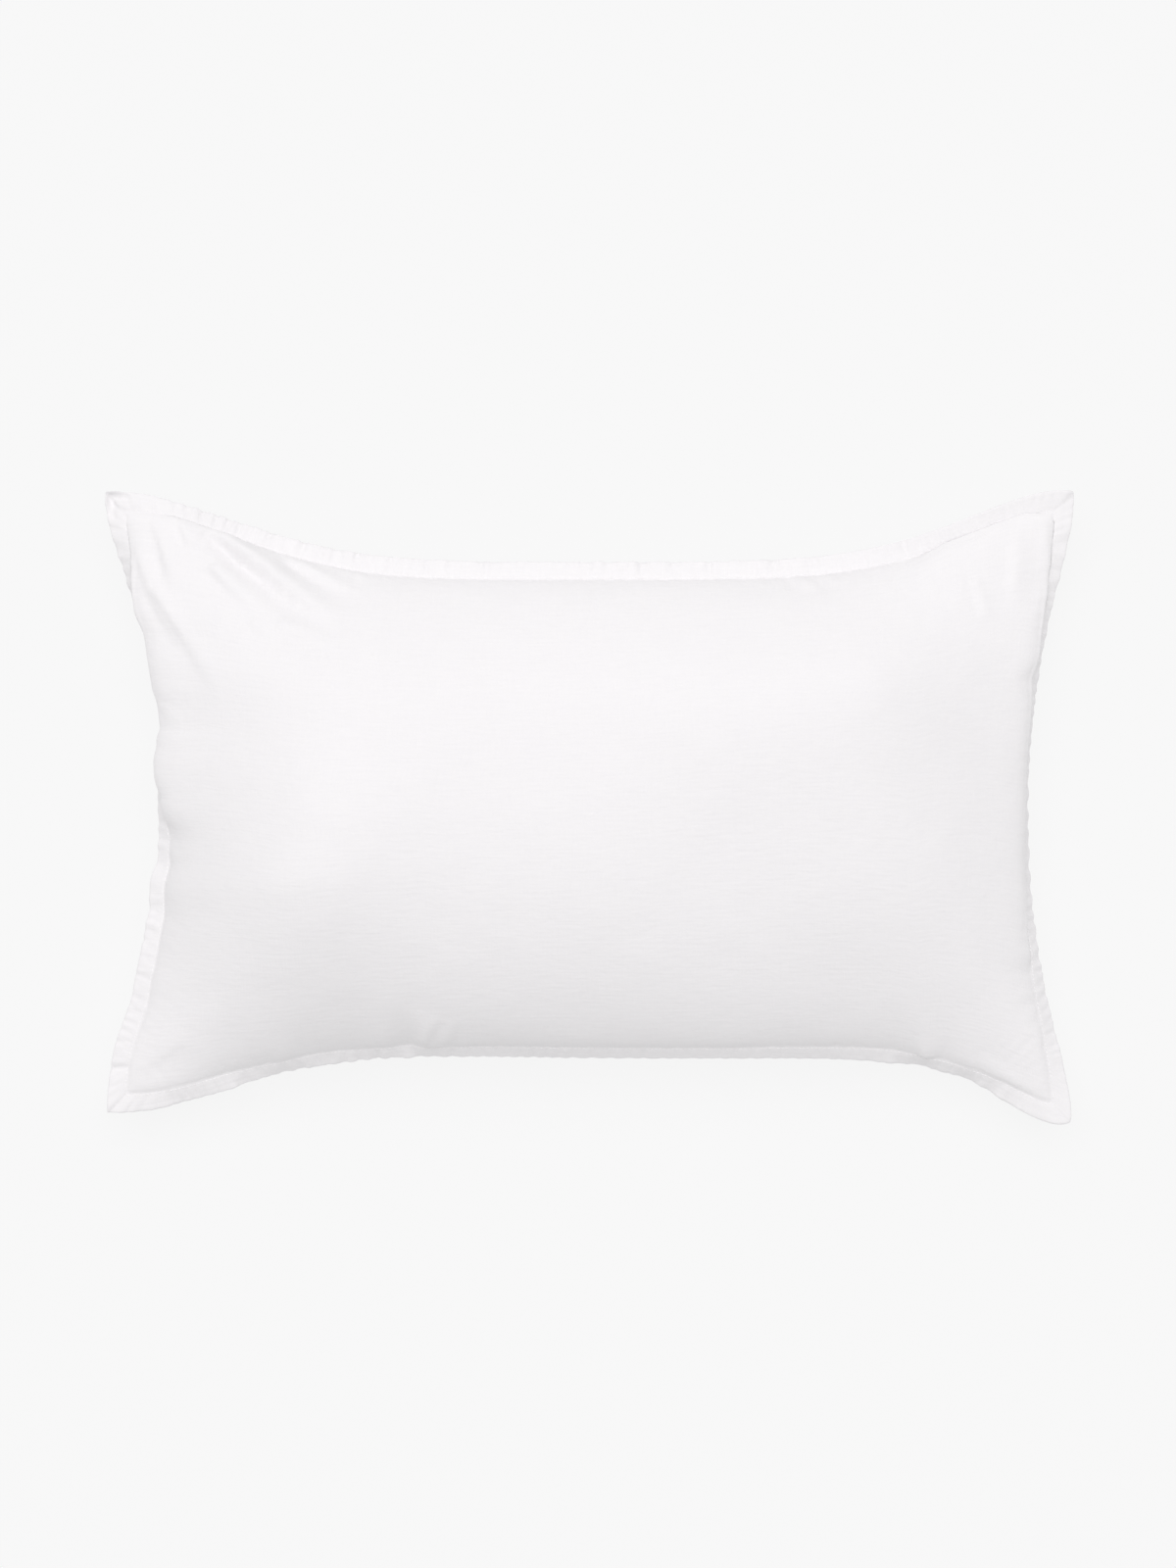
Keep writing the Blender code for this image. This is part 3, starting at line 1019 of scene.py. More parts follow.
@dataclass
class FlangeStrip:
    """The flange while it settles: rows of points outside the line of stitching, as rings."""

    rows: Array
    spare: Array
    start: Array = field(init=False)
    speed: Array = field(init=False)
    along: dict[int, Array] = field(init=False)
    across: Array = field(init=False)
    spare_at_stitching: float = 0.4
    pace: float = 0.25

    def __post_init__(self) -> None:
        """Measures the lengths on the smooth shape and adds the spare length to them."""
        self.start = self.rows.copy()
        self.speed = np.zeros_like(self.rows)
        share = np.linspace(self.spare_at_stitching, 1, len(self.rows))[:, None]
        self.along = {gap: self.apart(gap) * (1 + self.spare * share) for gap in (1, 2, 4)}
        self.across = np.linalg.norm(np.diff(self.rows, axis=0), axis=-1)

    def apart(self, gap: int) -> Array:
        """The distances between points a gap apart along each row."""
        return np.linalg.norm(np.roll(self.rows, -gap, axis=1) - self.rows, axis=-1)

    def keep_along(self, gap: int, share: float) -> None:
        """Moves points a gap apart along each row towards their lengths, all at once.

        Args:
            gap: How many points apart the two of a pair are.
            share: The share of the way.
        """
        rows = self.rows[1:]
        between = np.roll(rows, -gap, axis=1) - rows
        excess = 1 - self.along[gap][1:] / np.linalg.norm(between, axis=-1)
        move = (self.pace * share * excess)[..., None] * between
        rows += move - np.roll(move, gap, axis=1)

    def keep_across(self, gap: int, share: float) -> None:
        """Moves points a gap apart across the flange towards their lengths.

        Args:
            gap: How many rows apart the two of a pair are.
            share: The share of the way.
        """
        for row in range(len(self.rows) - gap):
            between = self.rows[row + gap] - self.rows[row]
            apart = np.linalg.norm(between, axis=-1)
            move = (0.5 * share * (1 - self.across[row : row + gap].sum(axis=0) / apart))[:, None]
            self.rows[row] += move * between * (0.5 if row == 0 else 1)
            self.rows[row + gap] -= move * between


@dataclass(frozen=True)
class ClothSettling:
    """Lets the two panels and the flange settle as real cloth does.

    The smooth shape is what the filling pushes the cloth to. The cloth is a little longer than
    that beside the stitching and round the corners, where it is gathered, so it buckles there
    into folds of its own. Each step moves the points on as they went, pushes the panels outwards
    along their normals, and then moves pairs of points towards the lengths of the cloth between
    them. The sides stay almost where they are, and the back stays on the surface it lies on.
    """

    steps: int = 300
    push: float = 0.3e-5
    slowing: float = 0.97
    shear_share: float = 0.3
    bend_share: float = 0.08
    long_bend_share: float = 0.06
    flange_bend_share: float = 0.10
    flange_long_bend_share: float = 0.04
    hold_seam: float = 0.03
    hold_panel: float = 0.001
    hold_flange: float = 0.003
    hold_rested: float = 0.2
    start_unevenness: float = 0.3 * MM
    seam_spare: float = 0.010
    seam_reach: float = 0.028
    seed: int = 5

    # The spare length comes and goes in patches, and never falls below a least share of itself.
    patch: float = 0.045
    patch_depth: float = 0.8
    patch_seed: int = 50
    least_share: float = 0.05
    flange_spare: float = 0.018
    flange_patch: float = 0.030
    flange_patch_seed: int = 77
    flange_least_share: float = 0.1

    # How strongly the flange is kept from bending across its width, and how low the back's points
    # lie that rest on the surface.
    stiff_across: float = 0.3
    rested_height: float = 0.0005
    corners: tuple[GatheredCorner, ...] = (
        GatheredCorner(Edge.START, Edge.END, 0.022, 0.140),
        GatheredCorner(Edge.END, Edge.END, 0.025, 0.080),
        GatheredCorner(Edge.START, Edge.START, 0.015, 0.070),
        GatheredCorner(Edge.END, Edge.START, 0.015, 0.070),
    )

    def sheet(self, points: Array, panel: Panel) -> Sheet:
        """Makes a panel's sheet, with its spare length beside the stitching and at the corners.

        Beside the stitching the spare length runs along it. Round a corner it runs across the
        way to the corner, so that the folds there point at the corner.

        Args:
            points: The panel's smooth grid.
            panel: Which panel it is.

        Returns:
            The sheet.
        """
        x, y = distance_along(points, 0), distance_along(points, 1)
        from_x = {Edge.START: x, Edge.END: x[-1:] - x}
        from_y = {Edge.START: y, Edge.END: y[:, -1:] - y}
        xx = sum(self.seam_spare * np.exp(-away / self.seam_reach) for away in from_y.values())
        yy = sum(self.seam_spare * np.exp(-away / self.seam_reach) for away in from_x.values())
        xy = np.zeros_like(xx)
        for corner in self.corners:
            toward_x, toward_y = from_x[corner.across], from_y[corner.along]
            away = np.hypot(toward_x, toward_y).clip(1e-6)
            bell = corner.spare * np.exp(-((away / corner.reach) ** 2))
            across, along = toward_y / away, toward_x / away
            same = 1 if corner.across is corner.along else -1
            xx, yy = xx + bell * across**2, yy + bell * along**2
            xy = xy - same * bell * across * along
        patches = patchy(x, y, self.patch, self.patch_seed + panel.value)
        uneven = (1 + self.patch_depth * patches).clip(self.least_share)
        return Sheet(points, panel.value, Spare(xx * uneven, xy * uneven, yy * uneven))

    def keep_all(self, sheet: Sheet) -> None:
        """Keeps a panel's lengths once: along, across the cells, and against bending.

        Args:
            sheet: The panel's sheet.
        """
        for axis in (0, 1):
            sheet.keep_lengths(1, axis, 1.0)
        sheet.keep_square(self.shear_share)
        for step, share in ((2, self.bend_share), (4, self.long_bend_share)):
            for axis in (0, 1):
                sheet.keep_lengths(step, axis, share)

    def settle(self, front: Array, back: Array, flange: Array) -> tuple[Array, Array, Array]:
        """Settles the cloth.

        Args:
            front, back: The panels' grids of points, with the same border.
            flange: The flange's rows of points as rings, of which the first is that border.

        Returns:
            How far each of the three has moved.
        """
        random = np.random.default_rng(self.seed)
        sheets = (self.sheet(front.copy(), Panel.FRONT), self.sheet(back.copy(), Panel.BACK))
        place = distance_along(flange[0], 0)
        patches = patchy(place, place * 0, self.flange_patch, self.flange_patch_seed)
        uneven = (1 + self.patch_depth * patches).clip(self.flange_least_share)
        strip = FlangeStrip(flange.copy(), self.flange_spare * uneven)
        rested = back[..., 2] < self.rested_height
        for sheet in sheets:
            bumps = random.uniform(-1, 1, sheet.points.shape[:2]) * self.start_unevenness
            sheet.points += bumps[..., None] * grid_normals(sheet.points)
        strip.rows += random.uniform(-1, 1, strip.rows.shape) * self.start_unevenness
        for _ in range(self.steps):
            before = [sheet.points.copy() for sheet in sheets] + [strip.rows.copy()]
            for sheet in sheets:
                sheet.points += sheet.speed + sheet.outward * self.push * grid_normals(sheet.points)
                self.keep_all(sheet)
            strip.rows += strip.speed
            strip.rows[0] = border_of(sheets[0].points)
            strip.keep_along(1, 1.0)
            strip.keep_along(1, 1.0)
            strip.keep_along(2, self.flange_bend_share)
            strip.keep_along(4, self.flange_long_bend_share)
            strip.keep_across(1, 1.0)
            strip.keep_across(2, self.stiff_across)
            ring = (border_of(sheets[0].points) + border_of(sheets[1].points) + strip.rows[0]) / 3
            ring += self.hold_seam * (strip.start[0] - ring)
            strip.rows[0] = ring
            strip.rows[1:] += self.hold_flange * (strip.start[1:] - strip.rows[1:])
            for sheet in sheets:
                sheet.put_border(ring)
                sheet.points += self.hold_panel * (sheet.start - sheet.points)
            low = sheets[1].points
            low[rested] += self.hold_rested * (sheets[1].start[rested] - low[rested])
            low[..., 2] = low[..., 2].clip(0)
            for sheet, old in zip(sheets, before):
                sheet.speed = (sheet.points - old) * self.slowing
            strip.speed = (strip.rows - before[2]) * self.slowing
        moved = sheets[0].points - front, sheets[1].points - back, strip.rows - flange
        for name, move in zip(("front", "back", "flange"), moved):
            far = np.linalg.norm(move, axis=-1) / MM
            LOG.info("%s settled by %.1f mm, %.1f mm at most", name, far.mean(), far.max())
        return moved


# --------------------------------------------------------------------------------------------
# The case
# --------------------------------------------------------------------------------------------


@dataclass
class FilledCase:
    """The cloth of the case: front panel, flange and back panel as one closed shell.

    The back has half as many cells each way as the front, the flange has ring_steps points for
    each of the front's, and the cloth settles on a grid with two cells for every three of the
    front's.
    """

    form: CaseForm = field(default_factory=CaseForm)
    settling: ClothSettling = field(default_factory=ClothSettling)
    cells_long: int = 270
    cells_short: int = 180
    ring_steps: int = 2
    cut_length: float = 0.7215
    cut_width: float = 0.4640
    back_offset: float = 0.5
    settled_rows: int = 4
    knots: int = 301
    evening_rounds: int = 120
    evening_share: float = 0.3

    # Shares of the flange's width, with half its thickness there: thin at the stitching, plump
    # beside it and rounded over the turned seam at its edge.
    flange_shares: tuple[float, ...] = (0, 0.07, 0.16, 0.3, 0.45, 0.6, 0.75, 0.88, 0.96, 1.0)
    flange_halves: tuple[float, ...] = (0.60, 0.72, 0.85, 0.95, 0.95, 0.95, 1.0, 1.1, 1.0, 0.55)

    # The panels' fine relief: gathers beside the stitching, and swells as rows of a height in
    # millimetres, a cell and a seed. Each starts from 0 over a distance from the stitching, and
    # the back's also over a height above the surface it lies on.
    fine_gathers: Gathers = Gathers(0.024, 0.45, 0.30 * MM, 4.0 * MM, 0.012, 21)
    gathers_onset: float = 0.004
    washed_swells: tuple[tuple[float, float, int], ...] = ((0.40, 0.047, 31), (0.22, 0.021, 32))
    washed_onset: float = 0.02
    back_onset: float = 0.02

    # The step at the back's lap, and the share of the width over which it ends at both sides.
    lap_step: float = 0.0012
    lap_end: float = 0.08

    # The flange's relief, which grows from a share of itself at the stitching to all of it.
    fine_puckers: Gathers = Gathers(0.012, 0.45, 0.40 * MM, 2.4 * MM, 0.040, 12, 1.3, 0.7)
    crease_seed: int = 8
    crease_draws: int = 100
    crease_slant: float = 0.35
    crease_sharpness: float = 1.4
    facet_sharpness: int = 6
    relief_at_stitching: float = 0.3
    relief_growth: float = 0.7
    relief_power: float = 0.6
    tip_crumple: float = 0.0040
    tip_crumple_cell: float = 0.0075
    tip_crumple_reach: float = 0.016
    tip_crumple_seed: int = 90

    front_side: Array = field(init=False)
    back_side: Array = field(init=False)
    flange_normal: Array = field(init=False)
    ring_places: Array = field(init=False)
    back_points: Array = field(init=False)

    @property
    def cells(self) -> tuple[int, int]:
        """The front's cells along and across."""
        return self.cells_long, self.cells_short

    @property
    def back_cells(self) -> tuple[int, int]:
        """The back's cells along and across."""
        return self.cells_long // 2, self.cells_short // 2

    def even_places(self, panel: Panel, columns: int, rows: int) -> tuple[Array, Array]:
        """The u and v that spread a grid's points over a panel's cloth, closer near its edges.

        Each u and v starts at its place on an even grid, and is moved again and again by a share
        of what its point lacks along its own row and column.

        Args:
            panel: The panel.
            columns, rows: The grid's cells.

        Returns:
            The grids of u and v.
        """
        knots = np.sin(np.linspace(-1, 1, self.knots) * np.pi / 2)
        surface = self.form.smooth_front if panel is Panel.FRONT else self.form.back
        points = surface(*np.meshgrid(knots, knots, indexing="ij"))
        run_x, run_y = distance_along(points, 0), distance_along(points, 1)
        share_x, share_y = 2 * run_x / run_x[-1:] - 1, 2 * run_y / run_y[:, -1:] - 1
        even_x, even_y = np.meshgrid(dense_ends(columns + 1), dense_ends(rows + 1), indexing="ij")
        u, v = even_x.copy(), even_y.copy()
        for _ in range(self.evening_rounds):
            lack_x = even_x - between_knots(share_x, knots, u, v)
            lack_y = even_y - between_knots(share_y, knots, u, v)
            u = (u + self.evening_share * lack_x).clip(-1, 1)
            v = (v + self.evening_share * lack_y).clip(-1, 1)
        return u, v

    def flange_ways(self, u: Array, v: Array) -> Array:
        """The way across the flange's full width round the border, as a ring.

        On each side it goes out square to the line of stitching, and near a corner it turns
        towards the corner, so that the two sides' flanges meet in a mitre.

        Args:
            u, v: The grids of places, of which the borders are used.

        Returns:
            A ring of vectors.
        """
        ways, count = np.zeros(u.shape + (3,)), np.zeros(u.shape + (1,))
        edges = {
            SideName.BOTTOM: (np.s_[:, 0], u[:, 0]),
            SideName.RIGHT: (np.s_[-1, :], v[-1, :]),
            SideName.TOP: (np.s_[:, -1], u[:, -1]),
            SideName.LEFT: (np.s_[0, :], v[0, :]),
        }
        for name, (edge, t) in edges.items():
            line = self.form.stitch_line(name, t)
            run = np.gradient(line, axis=0) * [1, 1, 0]
            run /= np.linalg.norm(run, axis=1, keepdims=True)
            out = np.cross(run, [0, 0, 1])
            out *= -np.sign(out[:, :2] @ np.array(SIDES[name].inward, dtype=float))[:, None]
            place, reach = distance_along(line, 0), self.form.mitre_reach
            turn = (1 - (place[-1] - place) / reach).clip(0) - (1 - place / reach).clip(0)
            lean = self.form.lean(name, t)[:, None]
            ways[edge] += np.cos(lean) * out - np.sin(lean) * [0, 0, 1] + turn[:, None] * run
            count[edge] += 1
        return border_of(ways / count.clip(1)) * self.form.flange_width

    def flange_waves(self, ring: Array, share: float) -> Array:
        """The flange's broad waves at a share of its width: sines of the distance run round.

        Args:
            ring: The line of stitching.
            share: The share of the width.

        Returns:
            Heights, one for each point.
        """
        run, whole = distance_round(ring)
        wave = np.zeros(len(run))
        for row in FLANGE_WAVES:
            turns = round(whole / row.length)
            wave += row.height * np.sin(2 * np.pi * turns * run / whole + row.phase)
        return wave * share

    def flange_rows(self, ring: Array, ways: Array, shares: Iterable[float]) -> Array:
        """The flange's smooth rows at shares of its width: out along its ways, and waving."""
        rows = [ring + ways * s + self.flange_waves(ring, s)[:, None] * UP for s in shares]
        return np.stack(rows)

    def smooth_shape(self, columns: int, rows: int) -> tuple[Array, Array, Array]:
        """The case before it settles, on a grid of so many cells: front, back and flange rows.

        Args:
            columns, rows: The grid's cells.

        Returns:
            The two grids of points, and the rows as rings.
        """
        u, v = self.even_places(Panel.FRONT, columns, rows)
        front = self.form.smooth_front(u, v)
        back = self.form.back(*self.even_places(Panel.BACK, columns, rows))
        ring, ways = border_of(self.form.middle(u, v)), self.flange_ways(u, v)
        flange = self.flange_rows(ring, ways, np.linspace(0, 1, self.settled_rows))
        index = border_of(np.arange(front[..., 0].size).reshape(front.shape[:2]))
        front.reshape(-1, 3)[index] = ring
        back.reshape(-1, 3)[index] = ring
        return front, back, flange

    def settled_moves(self) -> tuple[Array, Array, Array]:
        """How far the cloth settles, on the grids of the finished mesh.

        Returns:
            The front's, the back's and the flange's movements.
        """
        columns, rows = self.cells_long * 2 // 3, self.cells_short * 2 // 3
        front, back, flange = self.settling.settle(*self.smooth_shape(columns, rows))
        fine = [blend_matrix(np.arange(n + 1) / 1.5, n * 2 // 3 + 1) for n in self.cells]
        half = [blend_matrix(np.arange(n // 2 + 1) / 0.75, n * 2 // 3 + 1) for n in self.cells]
        round_places = np.arange(2 * sum(self.cells) * self.ring_steps) / (1.5 * self.ring_steps)
        ring = blend_matrix(round_places, flange.shape[1], closed=True)
        shares = np.array(self.flange_shares) * (self.settled_rows - 1)
        across = blend_matrix(shares, self.settled_rows)
        return (
            np.einsum("ai,bj,ijk->abk", fine[0], fine[1], front, optimize=True),
            np.einsum("ai,bj,ijk->abk", half[0], half[1], back, optimize=True),
            np.einsum("ai,bj,ijk->abk", across, ring, flange, optimize=True),
        )

    def cloth_places(self, columns: int, rows: int, panel: Panel) -> Array:
        """Where a panel's grid points are in the flat cloth, with an offset for the back panel.

        Args:
            columns, rows: The grid's cells.
            panel: Which panel it is.

        Returns:
            A grid of places.
        """
        x, y = np.meshgrid(
            dense_ends(columns + 1) * self.cut_length / 2,
            dense_ends(rows + 1) * self.cut_width / 2,
            indexing="ij",
        )
        offset = 0 if panel is Panel.FRONT else self.back_offset
        return np.stack([x, y, np.full_like(x, offset)], axis=-1)

    def fine_relief(self, places: Array, panel: Panel) -> Array:
        """A panel's fine relief: short gathers beside the stitching and the swells of washing.

        Args:
            places: The points' places in the flat cloth.
            panel: The panel, which shifts the seeds.

        Returns:
            Heights along the normals.
        """
        x, y = places[..., 0], places[..., 1]
        half_x, half_y = self.cut_length / 2, self.cut_width / 2
        height = np.zeros(x.shape)
        edges = (
            (x + half_x, y + half_y, 2 * half_x),
            (x + half_x, half_y - y, 2 * half_x),
            (y + half_y, x + half_x, 2 * half_y),
            (y + half_y, half_x - x, 2 * half_y),
        )
        for number, (place, away, whole) in enumerate(edges):
            seed = self.fine_gathers.seed + number + 10 * panel.value
            own = replace(self.fine_gathers, seed=seed)
            height += own.heights(place, away, whole) * eased(away / self.gathers_onset)
        nearest = np.minimum(half_x - np.abs(x), half_y - np.abs(y))
        soft = sum(rise * patchy(x, y, cell, seed) for rise, cell, seed in self.washed_swells)
        return height + soft * MM * eased(nearest / self.washed_onset)

    def lap(self, points: Array) -> Array:
        """How much further in the flap lies than the back panel's hem, which ends at the lap.

        Args:
            points: The back panel's points.

        Returns:
            Heights in metres.
        """
        inside = eased((self.form.lap_x - points[..., 0]) / self.lap_step + 0.5)
        rows = np.abs(dense_ends(points.shape[1]))
        return self.form.lap_thickness * inside * ((1 - rows) / self.lap_end).clip(0, 1)

    def panels(self) -> tuple[Array, Array, Array]:
        """The settled panels and flange rows, without the thickness of the flange.

        Returns:
            The two grids of points, and the rows as rings.
        """
        u, v = self.even_places(Panel.FRONT, *self.cells)
        back_u, back_v = self.even_places(Panel.BACK, *self.back_cells)
        front, back = self.form.smooth_front(u, v), self.form.back(back_u, back_v)
        count = 2 * sum(self.cells)
        ring_index = np.arange(count * self.ring_steps) / self.ring_steps
        finer = blend_matrix(ring_index, count, closed=True)
        ring, ways = finer @ border_of(self.form.middle(u, v)), finer @ self.flange_ways(u, v)
        self.ring_places = np.stack([finer @ border_of(u), finer @ border_of(v)], axis=-1)
        flange = self.flange_rows(ring, ways, self.flange_shares)
        for shape, move in zip((front, back, flange), self.settled_moves()):
            shape += move
        relief = self.fine_relief(self.cloth_places(*self.cells, Panel.FRONT), Panel.FRONT)
        relief += self.form.fold_relief(front, u, v)
        front += relief[..., None] * grid_normals(front)
        relief = self.fine_relief(self.cloth_places(*self.back_cells, Panel.BACK), Panel.BACK)
        relief *= (back[..., 2] / self.back_onset).clip(0, 1)
        back += relief[..., None] * grid_normals(back)
        back[..., 2] = back[..., 2].clip(0) + self.lap(back)
        return front, back, flange

    def crease_heights(self, run: Array, away: Array) -> Array:
        """The named creases' and facets' heights on the flange.

        A crease is -depth * exp(-|distance / width| ** sharpness), and slants a little. A facet
        turns about the stitching, with a steep step at either end.

        Args:
            run: Distances round the stitching.
            away: Distances from it, as a column.

        Returns:
            Heights, a row for each distance away.
        """
        height = np.zeros(np.broadcast(run, away).shape)

        def centre(name: SideName, t: float) -> float:
            """The distance round the stitching to a place along a side.

            Args:
                name: Which side.
                t: The place from -1 to 1.

            Returns:
                The distance in metres.
            """
            place = {
                SideName.BOTTOM: (t, -1), SideName.RIGHT: (1, t),
                SideName.TOP: (t, 1), SideName.LEFT: (-1, t),
            }[name]
            return run[np.abs(self.ring_places - place).sum(axis=1).argmin()]

        random = np.random.default_rng(self.crease_seed)
        slants = random.uniform(-self.crease_slant, self.crease_slant, self.crease_draws)
        for name, rows in FLANGE_CREASES.items():
            for row, slant in zip(rows, slants):
                across = np.abs(run - centre(name, row.place) - slant * away) / (row.width * MM)
                height -= row.depth * MM * np.exp(-(across**self.crease_sharpness))
        for facet in TOP_FACETS:
            across = np.abs(run - centre(SideName.TOP, facet.place)) / (facet.width / 2 * MM)
            turned = away * math.tan(math.radians(facet.tilt))
            height -= turned * np.exp(-(across**self.facet_sharpness))
        return height

    def thicken_flange(self, flange: Array) -> None:
        """Gives the flange its two sides, with creases and puckers that grow towards its edge.

        Args:
            flange: The flange's rows of points, as rings.
        """
        along = np.roll(flange, -1, axis=1) - np.roll(flange, 1, axis=1)
        normal = np.cross(np.gradient(flange, axis=0), along)
        normal /= np.linalg.norm(normal, axis=-1, keepdims=True)
        run, whole = distance_round(flange[0])
        share = np.array(self.flange_shares)[:, None]
        away = share * self.form.flange_width
        pucker = self.fine_puckers.heights(run[None], away, whole)
        growth = self.relief_at_stitching + self.relief_growth * share**self.relief_power
        pucker = (pucker + self.crease_heights(run, away)) * growth
        box = np.array([self.form.length, self.form.width])
        tip = np.array([UPPER_LEFT.along, UPPER_LEFT.across]) * box / 2
        reach = np.linalg.norm(flange[..., :2] - tip, axis=-1) / self.tip_crumple_reach
        x, y = flange[..., 0], flange[..., 1]
        crumple = patchy(x, y, self.tip_crumple_cell, self.tip_crumple_seed) * share
        crumple += np.sin(2 * np.pi * share)
        pucker = (pucker + self.tip_crumple * crumple * np.exp(-(reach**2)))[..., None] * normal
        half = (np.array(self.flange_halves) * MM)[:, None, None] * normal
        self.front_side, self.back_side = flange + pucker + half, flange + pucker - half
        self.flange_normal = normal

    def build(self) -> bpy.types.Object:
        """Builds the shell from the front panel round the flange's edge to the back panel.

        Returns:
            The case's object.
        """
        front, back, flange = self.panels()
        self.thicken_flange(flange)
        self.back_points = back
        places = self.cloth_places(*self.cells, Panel.FRONT)
        here = border_of(places)
        steps = (np.arange(self.ring_steps) / self.ring_steps)[None, :, None]
        ring_place = here[:, None] * (1 - steps) + np.roll(here, -1, axis=0)[:, None] * steps
        ring_place = ring_place.reshape(-1, 3)
        limit = np.array([self.cut_length, self.cut_width, 1]) / 2
        outward = np.where(np.isclose(np.abs(ring_place), limit), np.sign(ring_place), 0)

        cloth = ClothMesh()
        inner = cloth.add_points(front[1:-1, 1:-1], places[1:-1, 1:-1])
        back_places = self.cloth_places(*self.back_cells, Panel.BACK)
        back_inner = cloth.add_points(back[1:-1, 1:-1], back_places[1:-1, 1:-1])
        shares = self.flange_shares
        front_rows = list(zip(shares, self.front_side, [0.0] * len(shares)))
        back_rows = list(zip(shares, self.back_side, [self.back_offset] * len(shares)))
        loops = []
        for share, row, offset in front_rows + back_rows[::-1]:
            place = ring_place + outward * share * self.form.flange_width
            loops.append(cloth.add_points(row, place + [0, 0, offset]))
        for first, second in zip(loops, loops[1:]):
            cloth.add_band(first, second)
        cloth.add_panel(inner, loops[0], Panel.FRONT)
        cloth.add_panel(back_inner, loops[-1], Panel.BACK)
        return cloth.make("filled_case")


# --------------------------------------------------------------------------------------------
# Stitching
# --------------------------------------------------------------------------------------------


@dataclass(frozen=True)
class Thread:
    """A sewing thread and the way it is stitched."""

    pitch: float = 0.0032
    length: float = 0.0025
    radius: float = 0.00022
    rise: float = 0.00007
    sides: int = 6
    shares: tuple[float, ...] = (0.0, 0.12, 0.35, 0.65, 0.88, 1.0)
    dive_power: int = 8
    thinning: float = 0.55
    thinning_power: int = 6

    def stitches(self, line: Array, normals: Array, closed: bool) -> tuple[Array, Array]:
        """Stitches along a line: short threads that rise out of the cloth and dive back into it.

        Each follows the line for its length, at the height rise * sin(pi * s) above it, and its
        ends thin out and sink by its own radius.

        Args:
            line: The line's points.
            normals: The cloth's normals at them.
            closed: Whether the line runs back to its start.

        Returns:
            The points, as stitches by rings by sides, and the numbers of the faces' corners.
        """
        if closed:
            line, normals = np.vstack([line, line[:1]]), np.vstack([normals, normals[:1]])
        run = distance_along(line, 0)
        count = int(run[-1] / self.pitch)
        share = np.array(self.shares)
        place = (np.arange(count) + 0.5)[:, None] * run[-1] / count + (share - 0.5) * self.length
        centre = np.stack([np.interp(place, run, line[:, k]) for k in range(3)], axis=-1)
        normal = np.stack([np.interp(place, run, normals[:, k]) for k in range(3)], axis=-1)
        normal /= np.linalg.norm(normal, axis=-1, keepdims=True)
        along = centre[:, -1:] - centre[:, :1]
        side = np.cross(normal, along / np.linalg.norm(along, axis=-1, keepdims=True))
        from_middle = 2 * share - 1
        dive = self.radius * from_middle**self.dive_power
        arch = self.rise * np.sin(np.pi * share) - dive
        centre += arch[:, None] * normal
        thin = self.radius * (1 - self.thinning * from_middle**self.thinning_power)
        turn = (np.arange(self.sides) * 2 * np.pi / self.sides)[:, None]
        around = np.cos(turn) * side[:, :, None] + np.sin(turn) * normal[:, :, None]
        points = centre[:, :, None] + thin[:, None, None] * around
        number = np.arange(points[..., 0].size).reshape(points.shape[:3])
        after = np.roll(number, -1, axis=2)
        first, second = number[:, :-1], number[:, 1:]
        quads = np.stack([first, second, after[:, 1:], after[:, :-1]], axis=-1)
        return points, quads.reshape(-1, 4)


@dataclass
class Stitching:
    """All of the case's stitching as one piece: round the flange on both sides, and the hem."""

    case: FilledCase
    thread: Thread = field(default_factory=Thread)
    seam_row: int = 1
    hem_from_lap: float = 0.014

    # How many of the back's points the hem's line leaves out at both ends, and how far apart in
    # the pattern two stitches are.
    hem_ends: int = 2
    pattern_shift: float = 0.01

    def hem_line(self) -> tuple[Array, Array]:
        """The hem's line on the back panel, beside the lap, and its downward normals.

        Returns:
            The points and their normals.
        """
        back = self.case.back_points
        x = back[:, back.shape[1] // 2, 0]
        column = int(np.abs(x - self.case.form.lap_x - self.hem_from_lap).argmin())
        rows = slice(self.hem_ends, -self.hem_ends)
        return back[column, rows], -grid_normals(back)[column, rows]

    def build(self) -> bpy.types.Object:
        """Builds the stitching.

        Returns:
            Its object.
        """
        row = self.seam_row
        normal = self.case.flange_normal[row]
        lines = (
            (self.case.front_side[row], normal, True),
            (self.case.back_side[row], -normal, True),
            (*self.hem_line(), False),
        )
        cloth = ClothMesh()
        for line, normals, closed in lines:
            points, quads = self.thread.stitches(line, normals, closed)
            points[..., 2] = points[..., 2].clip(0)
            share = np.array(self.thread.shares)[None, :, None] * self.thread.length
            turn = np.arange(self.thread.sides)[None, None, :] / self.thread.sides
            stitch = np.arange(len(points))[:, None, None] * self.pattern_shift
            places = np.stack(np.broadcast_arrays(share, turn, stitch), axis=-1)
            number = cloth.add_points(points, places)
            cloth.faces += (quads + number.ravel()[0]).tolist()
            cloth.faces += number[:, 0].tolist()
            cloth.faces += number[:, -1, ::-1].tolist()
        return cloth.make("topstitching")


# --------------------------------------------------------------------------------------------
# Materials
# --------------------------------------------------------------------------------------------


